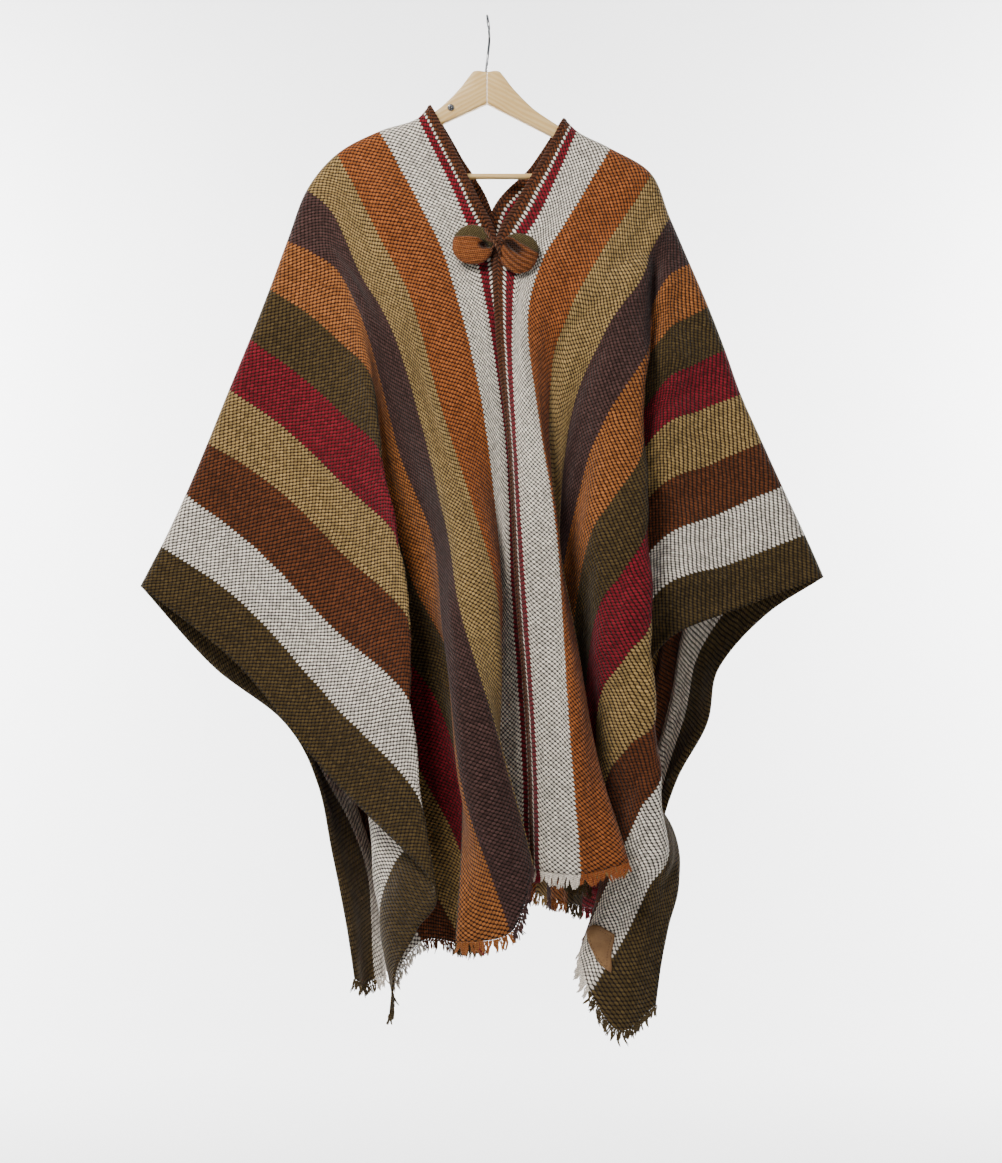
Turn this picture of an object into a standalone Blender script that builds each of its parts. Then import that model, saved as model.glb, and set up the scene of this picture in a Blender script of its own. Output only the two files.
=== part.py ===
"""Andean open-front poncho (ruana) hanging on a wooden hanger. Metres, +Z up, -Y is the wearer's front.

The origin is the inner top of the hanger's hook. The poncho is two woven lengths of cloth. Each runs from
the front hem over the shoulder to the back hem, with its warp stripes along it. The lengths meet in a seam
down the back below the neck, and hang open in front, where a two-lobed clasp holds them.

The drafting sheet is an elevation of the hanging poncho, ruled in units of 1.33 mm, so that a stripe is 51
units wide. A table row is one warp line, the boundary between two stripes. Its columns are the folds that
the line crosses, from the shoulder line T0 or B0 down to the hem, each as (across, down, forward or back in cm).
"""

import math

import bmesh
import bpy
import numpy as np
from mathutils import Vector

UNIT = 0.00133  # one unit of the drafting sheet
SHEET_X, SHEET_Z = 487.0, 17.0  # where the hook's inner top lies on the sheet
DRAFT_FROM = 3.0  # the elevation is drafted from this far in front, so what stands forward is drawn larger
DRAFT_X, DRAFT_Z = 501.0, 581.0  # the sheet's own centre
WALL = 0.0026  # woven cloth
SEAM = 0.0002  # each side of the centre back seam
SHOULDER_R = 0.011  # the cloth's bend over the hanger's arm and down the outline
SEAM_X = 491.0
FRONT_FULL, BACK_FULL = 0.18, 0.5  # how much deeper than drafted the folds stand, from the chest down
FIRST_U = 7.0  # the woven cloth starts inside the binding
BINDING_W, BINDING_T = 0.0074, 0.0046
FRINGE, FRINGE_T = 0.017, 0.0013
GAP = 0.00035

# (u from the centre edge, then the stations of the front)
WARP_U = [7.0, 22.0, 64.0, 113.5, 164.5, 215.5, 266.5, 317.5, 368.5, 419.5, 470.5, 521.5, 546.5, 571.5]

# front folds of the left length:
#  T0 outline      T1 wing           T2 wing           T3 wing crest     T4 behind wing    T5 valley         T6 ridge side     T7 ridge          T8 hem
LEFT_FRONT = [
    [(428, 108, 0.0), (447, 144, 0.5), (472, 194, 1.0), (494, 243, 1.5), (502, 330, 2.3), (514, 455, 1.8), (519, 590, 2.4), (529, 735, 3.4), (533, 867, 4.0)],
    [(420, 117, 0.0), (435, 149, 0.5), (456, 192, 1.1), (476, 247, 1.6), (492, 332, 2.6), (507, 455, 2.7), (512, 590, 3.2), (522, 735, 3.9), (526, 867, 4.4)],
    [(381, 131, 0.0), (402, 168, 0.8), (424, 210, 1.4), (447, 260, 1.9), (475, 365, 2.8), (491, 470, 2.9), (499, 590, 2.4), (494, 735, 3.2), (501, 867, 3.5)],
    [(339, 153, 0.0), (356, 186, 0.8), (385, 243, 1.5), (414, 303, 2.4), (443, 408, 3.4), (474, 505, 5.4), (500, 604, 7.4), (496, 738, 6.9), (500, 866, 6.5)],
    [(308, 189, 0.0), (334, 214, 0.6), (360, 272, 1.4), (393, 331, 2.6), (424, 430, 3.2), (447, 530, 5.4), (461, 612, 8.6), (499, 737, 10.6), (530, 858, 9.9)],
    [(289, 238, 0.0), (314, 250, 0.5), (341, 272, 1.3), (370, 337, 3.0), (400, 450, 1.8), (435, 540, 2.9), (447, 640, 7.4), (462, 775, 10.6), (513, 930, 11.4)],
    [(271, 287, 0.0), (308, 311, 0.6), (341, 340, 1.8), (371, 376, 4.0), (383, 470, 1.4), (412, 575, 1.2), (450, 660, 3.0), (464, 790, 7.0), (459, 942, 10.4)],
    [(251, 338, 0.0), (300, 374, 0.8), (343, 412, 2.4), (381, 454, 5.0), (374, 530, 1.6), (396, 635, 0.8), (440, 705, 1.6), (469, 810, 2.4), (478, 941, 4.6)],
    [(230, 389, 0.0), (285, 428, 1.0), (345, 485, 2.8), (399, 544, 6.0), (370, 612, 2.2), (386, 700, 0.8), (424, 777, 1.0), (460, 850, 1.0), (482, 943, 1.5)],
    [(209, 441, 0.0), (275, 484, 1.2), (345, 552, 3.2), (410, 623, 6.8), (368, 690, 2.6), (374, 775, 0.8), (410, 850, 0.8), (438, 895, 0.9), (464, 944, 1.0)],
    [(187, 493, 0.0), (260, 550, 1.4), (335, 627, 3.6), (410, 702, 7.6), (372, 770, 3.0), (369, 830, 1.2), (385, 875, 0.8), (403, 907, 0.8), (423, 940, 0.8)],
    [(163, 544, 0.0), (240, 597, 1.4), (330, 694, 3.8), (421, 799, 8.2), (392, 860, 4.0), (381, 897, 2.2), (382, 927, 1.6), (387, 953, 1.4), (394, 980, 1.4)],
    [(152, 565, 0.0), (240, 632, 1.4), (329, 736, 4.0), (427, 842, 8.5), (403, 897, 5.0), (391, 926, 3.4), (387, 950, 2.6), (388, 974, 2.4), (391, 998, 2.2)],
    [(141, 586, 0.0), (240, 667, 1.4), (328, 775, 4.2), (432, 882, 8.8), (416, 930, 6.0), (402, 954, 4.6), (394, 972, 3.6), (391, 993, 3.2), (389, 1013, 3.0)],
]

# back of the left length:
#  B0 outline       B1                B2                B3                B4                B5                B6 hem
LEFT_BACK = [
    [(428, 108, 0.0), (456, 156, 0.4), (491, 226, 1.0), (491, 360, 2.2), (491, 540, 3.6), (491, 720, 4.6), (491, 886, 5.2)],
    [(420, 117, 0.0), (443, 163, 0.4), (476, 232, 1.0), (472, 362, 2.2), (473, 541, 3.7), (473, 721, 4.8), (473, 888, 5.4)],
    [(381, 131, 0.0), (405, 180, 0.6), (434, 246, 1.4), (443, 370, 3.2), (452, 545, 6.0), (456, 723, 8.2), (458, 892, 9.0)],
    [(339, 153, 0.0), (365, 205, 0.7), (393, 268, 1.7), (418, 385, 4.2), (433, 550, 7.6), (438, 727, 10.2), (440, 899, 11.2)],
    [(308, 189, 0.0), (335, 240, 0.7), (366, 303, 1.7), (402, 420, 4.2), (417, 570, 6.8), (421, 735, 8.2), (422, 910, 8.8)],
    [(289, 238, 0.0), (318, 290, 0.7), (350, 355, 1.8), (389, 470, 3.2), (412, 610, 3.8), (424, 760, 4.0), (430, 912, 4.2)],
    [(271, 287, 0.0), (303, 338, 0.8), (338, 404, 2.0), (374, 515, 2.6), (402, 640, 1.8), (414, 780, 1.6), (420, 915, 1.8)],
    [(251, 338, 0.0), (287, 390, 0.9), (325, 456, 2.6), (355, 560, 3.8), (382, 675, 3.0), (398, 800, 2.6), (405, 920, 2.8)],
    [(230, 389, 0.0), (270, 440, 1.0), (310, 510, 3.0), (337, 610, 5.6), (362, 715, 6.6), (393, 825, 7.0), (404, 925, 7.2)],
    [(209, 441, 0.0), (252, 498, 1.0), (296, 565, 3.2), (324, 665, 6.4), (352, 755, 8.8), (386, 850, 10.0), (396, 936, 10.6)],
    [(187, 493, 0.0), (234, 555, 1.0), (284, 622, 3.0), (317, 712, 5.6), (352, 790, 7.6), (377, 866, 8.8), (386, 956, 9.0)],
    [(163, 544, 0.0), (224, 618, 0.9), (287, 688, 2.4), (322, 768, 4.6), (350, 822, 6.0), (370, 882, 6.8), (377, 978, 6.8)],
    [(152, 565, 0.0), (218, 643, 0.8), (286, 705, 2.0), (319, 776, 3.8), (341, 837, 5.0), (357, 900, 5.6), (365, 984, 6.0)],
    [(141, 586, 0.0), (213, 666, 0.8), (284, 721, 1.6), (315, 784, 3.0), (331, 852, 4.2), (343, 915, 4.8), (352, 978, 5.2)],
]

# front folds of the right length:
#  T0 outline       T1 wing           T2 wing border    T3 deep fold      T4 ridge edge     T5 ridge          T6 ridge          T7                T8 hem
RIGHT_FRONT = [
    [(566, 121, 0.0), (547, 157, 0.6), (522, 200, 1.2), (499, 246, 2.2), (500, 330, 3.4), (511, 455, 3.6), (518, 590, 4.8), (529, 735, 6.0), (533, 868, 6.8)],
    [(575, 130, 0.0), (560, 165, 0.6), (540, 208, 1.3), (517, 254, 2.4), (511, 335, 3.6), (517, 458, 4.8), (525, 592, 6.0), (535, 737, 7.2), (539, 870, 8.0)],
    [(609, 148, 0.0), (586, 187, 0.9), (563, 224, 1.7), (540, 264, 2.8), (527, 325, 3.8), (540, 428, 5.6), (557, 545, 7.8), (568, 710, 10.4), (580, 874, 11.6)],
    [(650, 173, 0.0), (633, 201, 0.7), (612, 232, 1.6), (590, 268, 2.6), (568, 310, 3.2), (550, 372, 2.8), (551, 500, 3.4), (587, 700, 8.0), (627, 862, 10.8)],
    [(669, 217, 0.0), (663, 227, 0.3), (656, 239, 0.6), (648, 254, 0.9), (640, 279, 2.6), (603, 334, 3.8), (567, 436, 2.4), (556, 640, 4.2), (590, 867, 8.0)],
    [(688, 261, 0.0), (678, 266, 0.4), (666, 276, 1.0), (650, 310, 0.6), (642, 354, 3.6), (606, 412, 4.6), (580, 480, 3.0), (551, 655, 2.2), (559, 873, 5.0)],
    [(707, 305, 0.0), (688, 315, 0.6), (666, 330, 1.5), (641, 378, 0.6), (643, 447, 4.6), (612, 497, 5.4), (587, 548, 4.0), (566, 700, 0.8), (562, 879, 1.0)],
    [(724, 349, 0.0), (695, 363, 0.7), (663, 382, 1.8), (631, 443, 1.0), (648, 522, 5.6), (622, 570, 6.4), (595, 617, 4.8), (586, 748, 1.4), (590, 886, 0.8)],
    [(740, 394, 0.0), (702, 409, 0.7), (660, 429, 1.9), (621, 504, 1.4), (651, 612, 6.2), (625, 657, 7.0), (598, 702, 4.6), (599, 800, 2.2), (607, 893, 1.6)],
    [(761, 441, 0.0), (710, 462, 0.8), (656, 488, 2.0), (612, 572, 1.5), (654, 706, 6.8), (630, 742, 6.8), (607, 777, 4.8), (603, 842, 3.4), (600, 909, 3.0)],
    [(781, 485, 0.0), (720, 512, 0.8), (655, 544, 2.2), (609, 642, 0.8), (658, 762, 6.6), (640, 808, 6.8), (621, 852, 5.8), (601, 900, 5.0), (584, 944, 4.6)],
    [(803, 532, 0.0), (732, 560, 0.8), (657, 590, 2.6), (616, 704, 0.3), (667, 838, 6.0), (646, 888, 7.2), (622, 937, 7.2), (604, 963, 6.8), (588, 986, 6.4)],
    [(813, 554, 0.0), (739, 583, 0.8), (658, 618, 2.6), (620, 724, 0.2), (671, 836, 4.8), (663, 888, 6.6), (646, 940, 7.6), (632, 987, 7.8), (619, 1030, 7.8)],
    [(823, 577, 0.0), (745, 606, 0.8), (660, 647, 2.6), (626, 744, 0.2), (670, 828, 3.2), (677, 882, 5.0), (668, 925, 6.2), (661, 965, 6.8), (656, 1004, 7.0)],
]

# back of the right length
RIGHT_BACK = [
    [(566, 121, 0.0), (535, 168, 0.4), (491, 226, 1.0), (491, 360, 2.2), (491, 540, 3.6), (491, 720, 4.6), (491, 886, 5.2)],
    [(575, 130, 0.0), (549, 172, 0.4), (507, 232, 1.0), (511, 362, 2.2), (510, 541, 3.7), (509, 721, 4.8), (509, 887, 5.4)],
    [(609, 148, 0.0), (580, 190, 0.6), (549, 248, 1.4), (534, 370, 3.2), (525, 545, 6.0), (521, 723, 8.2), (520, 889, 9.0)],
    [(650, 173, 0.0), (616, 215, 0.7), (582, 273, 1.7), (556, 385, 4.2), (543, 550, 7.6), (538, 727, 10.2), (536, 892, 11.2)],
    [(669, 217, 0.0), (634, 255, 0.7), (600, 310, 1.7), (572, 420, 4.2), (559, 570, 6.8), (553, 735, 8.2), (549, 895, 8.8)],
    [(688, 261, 0.0), (650, 300, 0.7), (613, 358, 1.8), (585, 470, 3.2), (568, 610, 3.8), (560, 760, 4.0), (554, 898, 4.2)],
    [(707, 305, 0.0), (665, 345, 0.8), (628, 405, 2.0), (603, 515, 2.6), (585, 640, 1.8), (575, 780, 1.6), (568, 902, 1.8)],
    [(724, 349, 0.0), (678, 395, 0.9), (642, 458, 2.6), (622, 560, 3.8), (603, 675, 3.0), (591, 800, 2.6), (584, 906, 2.8)],
    [(740, 394, 0.0), (692, 445, 1.0), (657, 512, 3.0), (640, 612, 5.6), (622, 715, 6.6), (608, 825, 7.0), (600, 911, 7.2)],
    [(761, 441, 0.0), (710, 500, 1.0), (672, 570, 3.2), (654, 665, 6.4), (636, 755, 8.8), (624, 840, 9.8), (615, 922, 10.2)],
    [(781, 485, 0.0), (725, 548, 1.0), (684, 622, 3.2), (667, 703, 6.0), (648, 783, 7.8), (636, 855, 8.4), (627, 928, 8.4)],
    [(803, 532, 0.0), (745, 583, 0.9), (700, 648, 2.6), (684, 714, 4.8), (660, 788, 6.2), (648, 858, 6.2), (638, 936, 6.2)],
    [(813, 554, 0.0), (755, 600, 0.8), (710, 658, 2.2), (696, 718, 4.0), (669, 784, 5.2), (653, 855, 5.2), (643, 938, 5.2)],
    [(823, 577, 0.0), (765, 615, 0.8), (719, 668, 1.8), (707, 722, 3.2), (678, 778, 4.2), (658, 852, 4.4), (648, 940, 4.4)],
]

# wooden arms: across, top edge, bottom edge on the sheet, half thickness in mm
ARM_LEFT = [
    (486.85, 72, 104, 7.0), (473, 72, 110.3, 7.0), (468, 78, 112.6, 6.8), (462, 86, 115.3, 6.4), (452, 97, 119.9, 6.2),
    (440, 108, 125.4, 6.0), (425, 118.5, 132.2, 5.8), (400, 128, 143.6, 5.6), (372, 143, 156.4, 5.4), (352, 153.6, 166, 5.2),
    (349, 155, 182.5, 5.2), (338, 161, 185, 5.0), (334, 165, 182, 4.0),
]
ARM_RIGHT = [
    (487.15, 72, 104, 7.0), (500, 72, 110.6, 7.0), (505, 78, 113.1, 6.8), (511, 86, 116.2, 6.4), (521, 97, 121.3, 6.2),
    (533, 108.5, 127.4, 6.0), (548, 119, 135, 5.8), (566, 130, 144.2, 5.7), (575, 133, 148.7, 5.6), (600, 148, 161.4, 5.4), (618, 157.8, 170.5, 5.2),
    (621, 159.5, 184, 5.2), (630, 165, 186, 5.0), (634, 169, 184, 4.0),
]
BAR_Z, BAR_R = 176.0, 0.0038
WIRE_R = 0.00165
HOOK_R = 0.019

COLOURS = {
    "cloth": (0.20, 0.11, 0.05), "binding": (0.10, 0.04, 0.02), "fringe": (0.30, 0.18, 0.08), "clasp": (0.22, 0.09, 0.035),
    "leather": (0.33, 0.17, 0.08), "wood": (0.72, 0.54, 0.33), "steel": (0.60, 0.60, 0.62),
}


def hermite(knots, values, at):
    """A smooth curve through values at uneven knots, read at the places in at."""
    knots, values, at = np.asarray(knots, float), np.asarray(values, float), np.asarray(at, float)
    slopes = np.empty_like(values)
    steps = np.diff(values, axis=0) / np.diff(knots).reshape((-1,) + (1,) * (values.ndim - 1))
    slopes[0], slopes[-1] = steps[0], steps[-1]
    before, after = np.diff(knots)[:-1], np.diff(knots)[1:]
    shape = (-1,) + (1,) * (values.ndim - 1)
    share = (before / (before + after)).reshape(shape)
    slopes[1:-1] = steps[:-1] * (1 - share) + steps[1:] * share
    i = np.clip(np.searchsorted(knots, at, side="right") - 1, 0, len(knots) - 2)
    width = (knots[i + 1] - knots[i]).reshape(shape)
    f = ((at - knots[i]) / (knots[i + 1] - knots[i])).reshape(shape)
    return (
        values[i] * (2 * f**3 - 3 * f**2 + 1) + slopes[i] * width * (f**3 - 2 * f**2 + f)
        + values[i + 1] * (3 * f**2 - 2 * f**3) + slopes[i + 1] * width * (f**3 - f**2)
    )


def true_place(across, down, forward):
    """Metres from the sheet's units and a depth in metres, forward being towards -Y."""
    draw = (DRAFT_FROM - forward) / DRAFT_FROM
    x = (DRAFT_X - SHEET_X) + (across - DRAFT_X) * draw
    z = (DRAFT_Z - SHEET_Z) + (down - DRAFT_Z) * draw
    return np.stack([x * UNIT, -forward, -z * UNIT], axis=-1)


def half_cloth(table, side, us, ts):
    """Points of one half, front (side 1) or back (side -1), as an array of warp by station by 3."""
    table = np.array(table, float)
    along = hermite(np.arange(table.shape[1]), table.transpose(1, 0, 2), ts)
    cells = hermite(WARP_U, along.transpose(1, 0, 2), us)
    top = hermite(WARP_U, table[:, 0], us)
    fall = np.hypot(cells[..., 0] - top[:, None, 0], cells[..., 1] - top[:, None, 1]) * UNIT
    bend = SHOULDER_R * np.sqrt(1 - (1 - np.minimum(fall / SHOULDER_R, 1)) ** 2)
    fullness = 1 + (FRONT_FULL if side > 0 else BACK_FULL) * np.minimum(np.asarray(ts, float) / 4, 1)
    return true_place(cells[..., 0], cells[..., 1], side * (bend + np.maximum(cells[..., 2], 0) * 0.01 * fullness))


def whole_cloth(front, back, us, front_ts, back_ts, seam_side):
    """The length of cloth from the back hem over the shoulder to the front hem."""
    ahead = half_cloth(front, 1, us, front_ts)
    behind = half_cloth(back, -1, us, back_ts)
    seam = (SEAM_X - SHEET_X) * UNIT
    if seam_side < 0:
        behind[..., 0] = np.minimum(behind[..., 0], seam - SEAM)
    else:
        behind[..., 0] = np.maximum(behind[..., 0], seam + SEAM)
    return np.concatenate([behind[:, ::-1], ahead[:, 1:]], axis=1)


def stations(last, count):
    """Places down a half, close together where the cloth bends over the shoulder."""
    return np.concatenate([[0, 0.018, 0.055, 0.12, 0.22], np.linspace(0.42, last, count)])


FRONT_TS, BACK_TS = stations(8, 22), stations(6, 15)
PANEL_US = np.concatenate([[7.0, 14.5], np.linspace(22.0, 571.5, 24)])


def material(name):
    made = bpy.data.materials.new(name)
    made.use_nodes = True
    surface = made.node_tree.nodes["Principled BSDF"]
    surface.inputs["Base Color"].default_value = (*COLOURS[name], 1)
    surface.inputs["Metallic"].default_value = 1.0 if name == "steel" else 0.0
    surface.inputs["Roughness"].default_value = 0.3 if name == "steel" else 0.5 if name in ("wood", "leather") else 0.9
    return made


def place(obj, finish):
    home.objects.link(obj)
    obj.data.materials.append(finishes[finish])
    return obj


def sheet(name, points, finish, wall, outward):
    """A grid of points as an open surface with a Solidify wall about it."""
    rows, columns = points.shape[:2]
    index = np.arange(rows * columns).reshape(rows, columns)
    quads = [
        (index[i, j], index[i + 1, j], index[i + 1, j + 1], index[i, j + 1])[:: 1 if outward else -1]
        for i in range(rows - 1) for j in range(columns - 1)
    ]
    mesh = bpy.data.meshes.new(name)
    mesh.from_pydata(points.reshape(-1, 3).tolist(), [], [[int(k) for k in quad] for quad in quads])
    obj = place(bpy.data.objects.new(name, mesh), finish)
    shell = obj.modifiers.new("wall", "SOLIDIFY")
    shell.thickness, shell.offset = wall, 0
    mesh.shade_smooth()
    return obj


def loft(name, rings, finish):
    """Closed rings of equal count joined side to side, with flat ends."""
    shape = bmesh.new()
    made = [[shape.verts.new(p) for p in ring] for ring in rings]
    for a, b in zip(made, made[1:]):
        for k in range(len(a)):
            n = (k + 1) % len(a)
            shape.faces.new((a[k], a[n], b[n], b[k]))
    shape.faces.new(made[0][::-1])
    shape.faces.new(made[-1])
    bmesh.ops.recalc_face_normals(shape, faces=shape.faces)
    mesh = bpy.data.meshes.new(name)
    shape.to_mesh(mesh)
    shape.free()
    return place(bpy.data.objects.new(name, mesh), finish)


def wire(name, points, radius, finish):
    data = bpy.data.curves.new(name, "CURVE")
    data.dimensions = "3D"
    line = data.splines.new("POLY")
    line.points.add(len(points) - 1)
    for knot, p in zip(line.points, points):
        knot.co = (*p, 1)
    data.bevel_depth, data.bevel_resolution, data.use_fill_caps = radius, 2, True
    return place(bpy.data.objects.new(name, data), finish)


def unit(v):
    return v / np.linalg.norm(v, axis=-1, keepdims=True)


def binding(name, cloth, start, stop):
    """A folded tape that closes the woven edge: a flat oval beside the first warp line."""
    edge, inner = cloth[0, start:stop], cloth[1, start:stop]
    along = unit(np.gradient(edge, axis=0))
    across = unit((inner - edge) - np.sum((inner - edge) * along, axis=1, keepdims=True) * along)
    normal = np.cross(along, across)
    middle = edge - across * (BINDING_W / 2 + GAP)
    rings = []
    for m, a, n in zip(middle, across, normal):
        ring = []
        for k in range(6):
            turn = math.radians(60 * k + 30)
            ring.append(m + a * math.cos(turn) / math.cos(math.radians(30)) * BINDING_W / 2 + n * math.sin(turn) * BINDING_T / 2)
        rings.append([tuple(p) for p in ring])
    return loft(name, rings, "binding")


def fringe(name, table, side):
    """The reach of the fringe below a hem, one thin sheet."""
    last = len(table[0]) - 1
    near = half_cloth(table, side, PANEL_US, [last - 0.08, last])
    hem = near[:, 1]
    fall = unit(hem - near[:, 0])
    slant = np.linalg.norm(np.cross(fall, unit(np.gradient(hem, axis=0))), axis=1)
    clear = 0.0012 / np.maximum(slant, 0.35)[:, None]
    strip = np.stack([hem + fall * clear, hem + fall * (FRINGE / 2 + clear / 2), hem + fall * FRINGE], axis=1)
    if side < 0:
        strip[0, :, 0] += math.copysign(0.0005, strip[5, 0, 0] - strip[0, 0, 0])
    return sheet(name, strip, "fringe", FRINGE_T, True)


def lobe(name, middle, half, tilt, finish):
    """A padded clasp lobe: a flattened ball, dished a little in front."""
    shape = bmesh.new()
    bmesh.ops.create_uvsphere(shape, u_segments=14, v_segments=9, radius=1)
    for v in shape.verts:
        dish = 0.35 * math.exp(-(v.co.x**2 + v.co.z**2) * 5) if v.co.y < 0 else 0
        x, z = v.co.x * half[0], v.co.z * half[2]
        y = v.co.y * half[1] * (1 - dish)
        v.co = (middle[0] + x * math.cos(tilt) - z * math.sin(tilt), middle[1] + y, middle[2] + x * math.sin(tilt) + z * math.cos(tilt))
    mesh = bpy.data.meshes.new(name)
    shape.to_mesh(mesh)
    shape.free()
    return place(bpy.data.objects.new(name, mesh), finish)


def arm(name, table):
    rings = []
    for across, top, bottom, thick in table:
        x, high, low = (across - SHEET_X) * UNIT, -(top - SHEET_Z) * UNIT, -(bottom - SHEET_Z) * UNIT
        half, tall = thick / 1000, high - low
        round_ = min(0.0032, tall / 3)
        ring = [(-half + round_, high), (half - round_, high), (half, high - round_), (half, low + round_),
                (half - round_, low), (-half + round_, low), (-half, low + round_), (-half, high - round_)]
        rings.append([(x, y, z) for y, z in ring])
    return loft(name, rings, "wood")


def patch(name, cloth_at, corners):
    """A small leather triangle lying on the cloth, from the cloth's own points moved out."""
    steps = 3
    shape = bmesh.new()
    under, over = {}, {}
    for i in range(steps + 1):
        for j in range(steps + 1 - i):
            a, b = i / steps, j / steps
            u, t = (corners[0][k] * (1 - a - b) + corners[1][k] * a + corners[2][k] * b for k in (0, 1))
            p, n = cloth_at(u, t)
            under[i, j] = shape.verts.new(p + n * (WALL / 2 + 0.0012))
            over[i, j] = shape.verts.new(p + n * (WALL / 2 + 0.0030))
    for i in range(steps):
        for j in range(steps - i):
            for level, flip in ((under, True), (over, False)):
                tri = [level[i, j], level[i + 1, j], level[i, j + 1]]
                shape.faces.new(tri[::-1] if flip else tri)
                if i + j < steps - 1:
                    tri = [level[i + 1, j], level[i + 1, j + 1], level[i, j + 1]]
                    shape.faces.new(tri[::-1] if flip else tri)
    ring = [(i, 0) for i in range(steps)] + [(steps - j, j) for j in range(steps)] + [(0, steps - j) for j in range(steps)]
    for p, q in zip(ring, ring[1:] + ring[:1]):
        shape.faces.new((under[p], under[q], over[q], over[p]))
    bmesh.ops.recalc_face_normals(shape, faces=shape.faces)
    mesh = bpy.data.meshes.new(name)
    shape.to_mesh(mesh)
    shape.free()
    return place(bpy.data.objects.new(name, mesh), "leather")


for old in list(bpy.data.objects):
    bpy.data.objects.remove(old, do_unlink=True)
home = bpy.data.collections.new("andean_poncho")
bpy.context.scene.collection.children.link(home)
finishes = {name: material(name) for name in COLOURS}

left = whole_cloth(LEFT_FRONT, LEFT_BACK, PANEL_US, FRONT_TS, BACK_TS, -1)
right = whole_cloth(RIGHT_FRONT, RIGHT_BACK, PANEL_US, FRONT_TS, BACK_TS, 1)
sheet("left_panel", left, "cloth", WALL, True)
sheet("right_panel", right, "cloth", WALL, False)

# the bindings run from the front hem over the shoulder to just above the foot of the back neck
neck_row = len(BACK_TS) - 1 - int(np.searchsorted(BACK_TS, 1.75)) + 1
binding("binding_left", left, neck_row, left.shape[1])
binding("binding_right", right, neck_row, right.shape[1])

fringe("fringe_front_left", LEFT_FRONT, 1)
fringe("fringe_front_right", RIGHT_FRONT, 1)
fringe("fringe_back_left", LEFT_BACK, -1)
fringe("fringe_back_right", RIGHT_BACK, -1)

clasp_left_y, clasp_right_y, knot_y = -0.0450, -0.0520, -0.0645
lobe("clasp_left", ((471.5 - SHEET_X) * UNIT, clasp_left_y, -(249 - SHEET_Z) * UNIT), (0.0292, 0.0085, 0.0255), math.radians(-4), "clasp")
lobe("clasp_right", ((517.5 - SHEET_X) * UNIT, clasp_right_y, -(257 - SHEET_Z) * UNIT), (0.0262, 0.0085, 0.0270), math.radians(-22), "clasp")
lobe("clasp_knot", ((495.2 - SHEET_X) * UNIT, knot_y + 0.004, -(249 - SHEET_Z) * UNIT), (0.0085, 0.0036, 0.0120), 0, "clasp")


def right_cloth_at(u, t):
    at = half_cloth(RIGHT_FRONT, 1, [u - 2, u, u + 2], [t - 0.05, t, t + 0.05])
    normal = unit(np.cross(at[2, 1] - at[0, 1], at[1, 2] - at[1, 0]))
    return Vector(at[1, 1]), Vector(normal if normal[1] < 0 else -normal)


patch("leather_patch", right_cloth_at, [(473, 7.66), (513, 6.12), (531, 7.0)])

arm("hanger_arm_left", ARM_LEFT)
arm("hanger_arm_right", ARM_RIGHT)
bar_z = -(BAR_Z - SHEET_Z) * UNIT
bar_from, bar_to = (352 - SHEET_X) * UNIT + GAP, (618 - SHEET_X) * UNIT - GAP
shape = bmesh.new()
bmesh.ops.create_cone(shape, cap_ends=True, segments=12, radius1=BAR_R, radius2=BAR_R, depth=bar_to - bar_from)
mesh = bpy.data.meshes.new("hanger_bar")
shape.to_mesh(mesh)
shape.free()
bar = place(bpy.data.objects.new("hanger_bar", mesh), "wood")
bar.rotation_euler = (0, math.pi / 2, 0)
bar.location = ((bar_from + bar_to) / 2, 0, bar_z)

# the hook: an upright stem, then a round bend whose inner top is the origin
wood_top = -(72 - SHEET_Z) * UNIT
hook_middle = WIRE_R - HOOK_R
route = [(0.0, wood_top + GAP), (0.0, -0.058), (0.0012, -0.049), (0.0058, -0.0415)]
for k in range(15):
    turn = math.radians(-46 + 17.2 * k)
    route.append((HOOK_R * math.cos(turn), hook_middle + HOOK_R * math.sin(turn)))
lean = [(-0.073, -0.0022), (-0.045, 0.0008), (-0.024, 0.0022), (0.002, -0.0008)]
hook_points = [(float(hermite([a for a, _ in lean], [b for _, b in lean], [z])[0]) + 0.0008, y, z) for y, z in route]
wire("hanger_hook", hook_points, WIRE_R, "steel")

shape = bmesh.new()
bmesh.ops.create_cone(shape, cap_ends=True, segments=16, radius1=0.0046, radius2=0.0040, depth=0.0014)
mesh = bpy.data.meshes.new("hanger_screw")
shape.to_mesh(mesh)
shape.free()
screw = place(bpy.data.objects.new("hanger_screw", mesh), "steel")
screw.rotation_euler = (math.pi / 2, 0, 0)
screw.location = ((451 - SHEET_X) * UNIT, -0.0062 - 0.0007 - GAP, -(108 - SHEET_Z) * UNIT)
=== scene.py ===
"""The looks of the andean poncho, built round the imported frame: woven cloth, braided bindings, fringe, the
cloth clasp, the leather patch and the wooden hanger, then a plain cyclorama, lights and a camera.

The cloth follows the same drafting tables as the solids, at a finer step, with soft creases laid over it.
"""

import math

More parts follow.
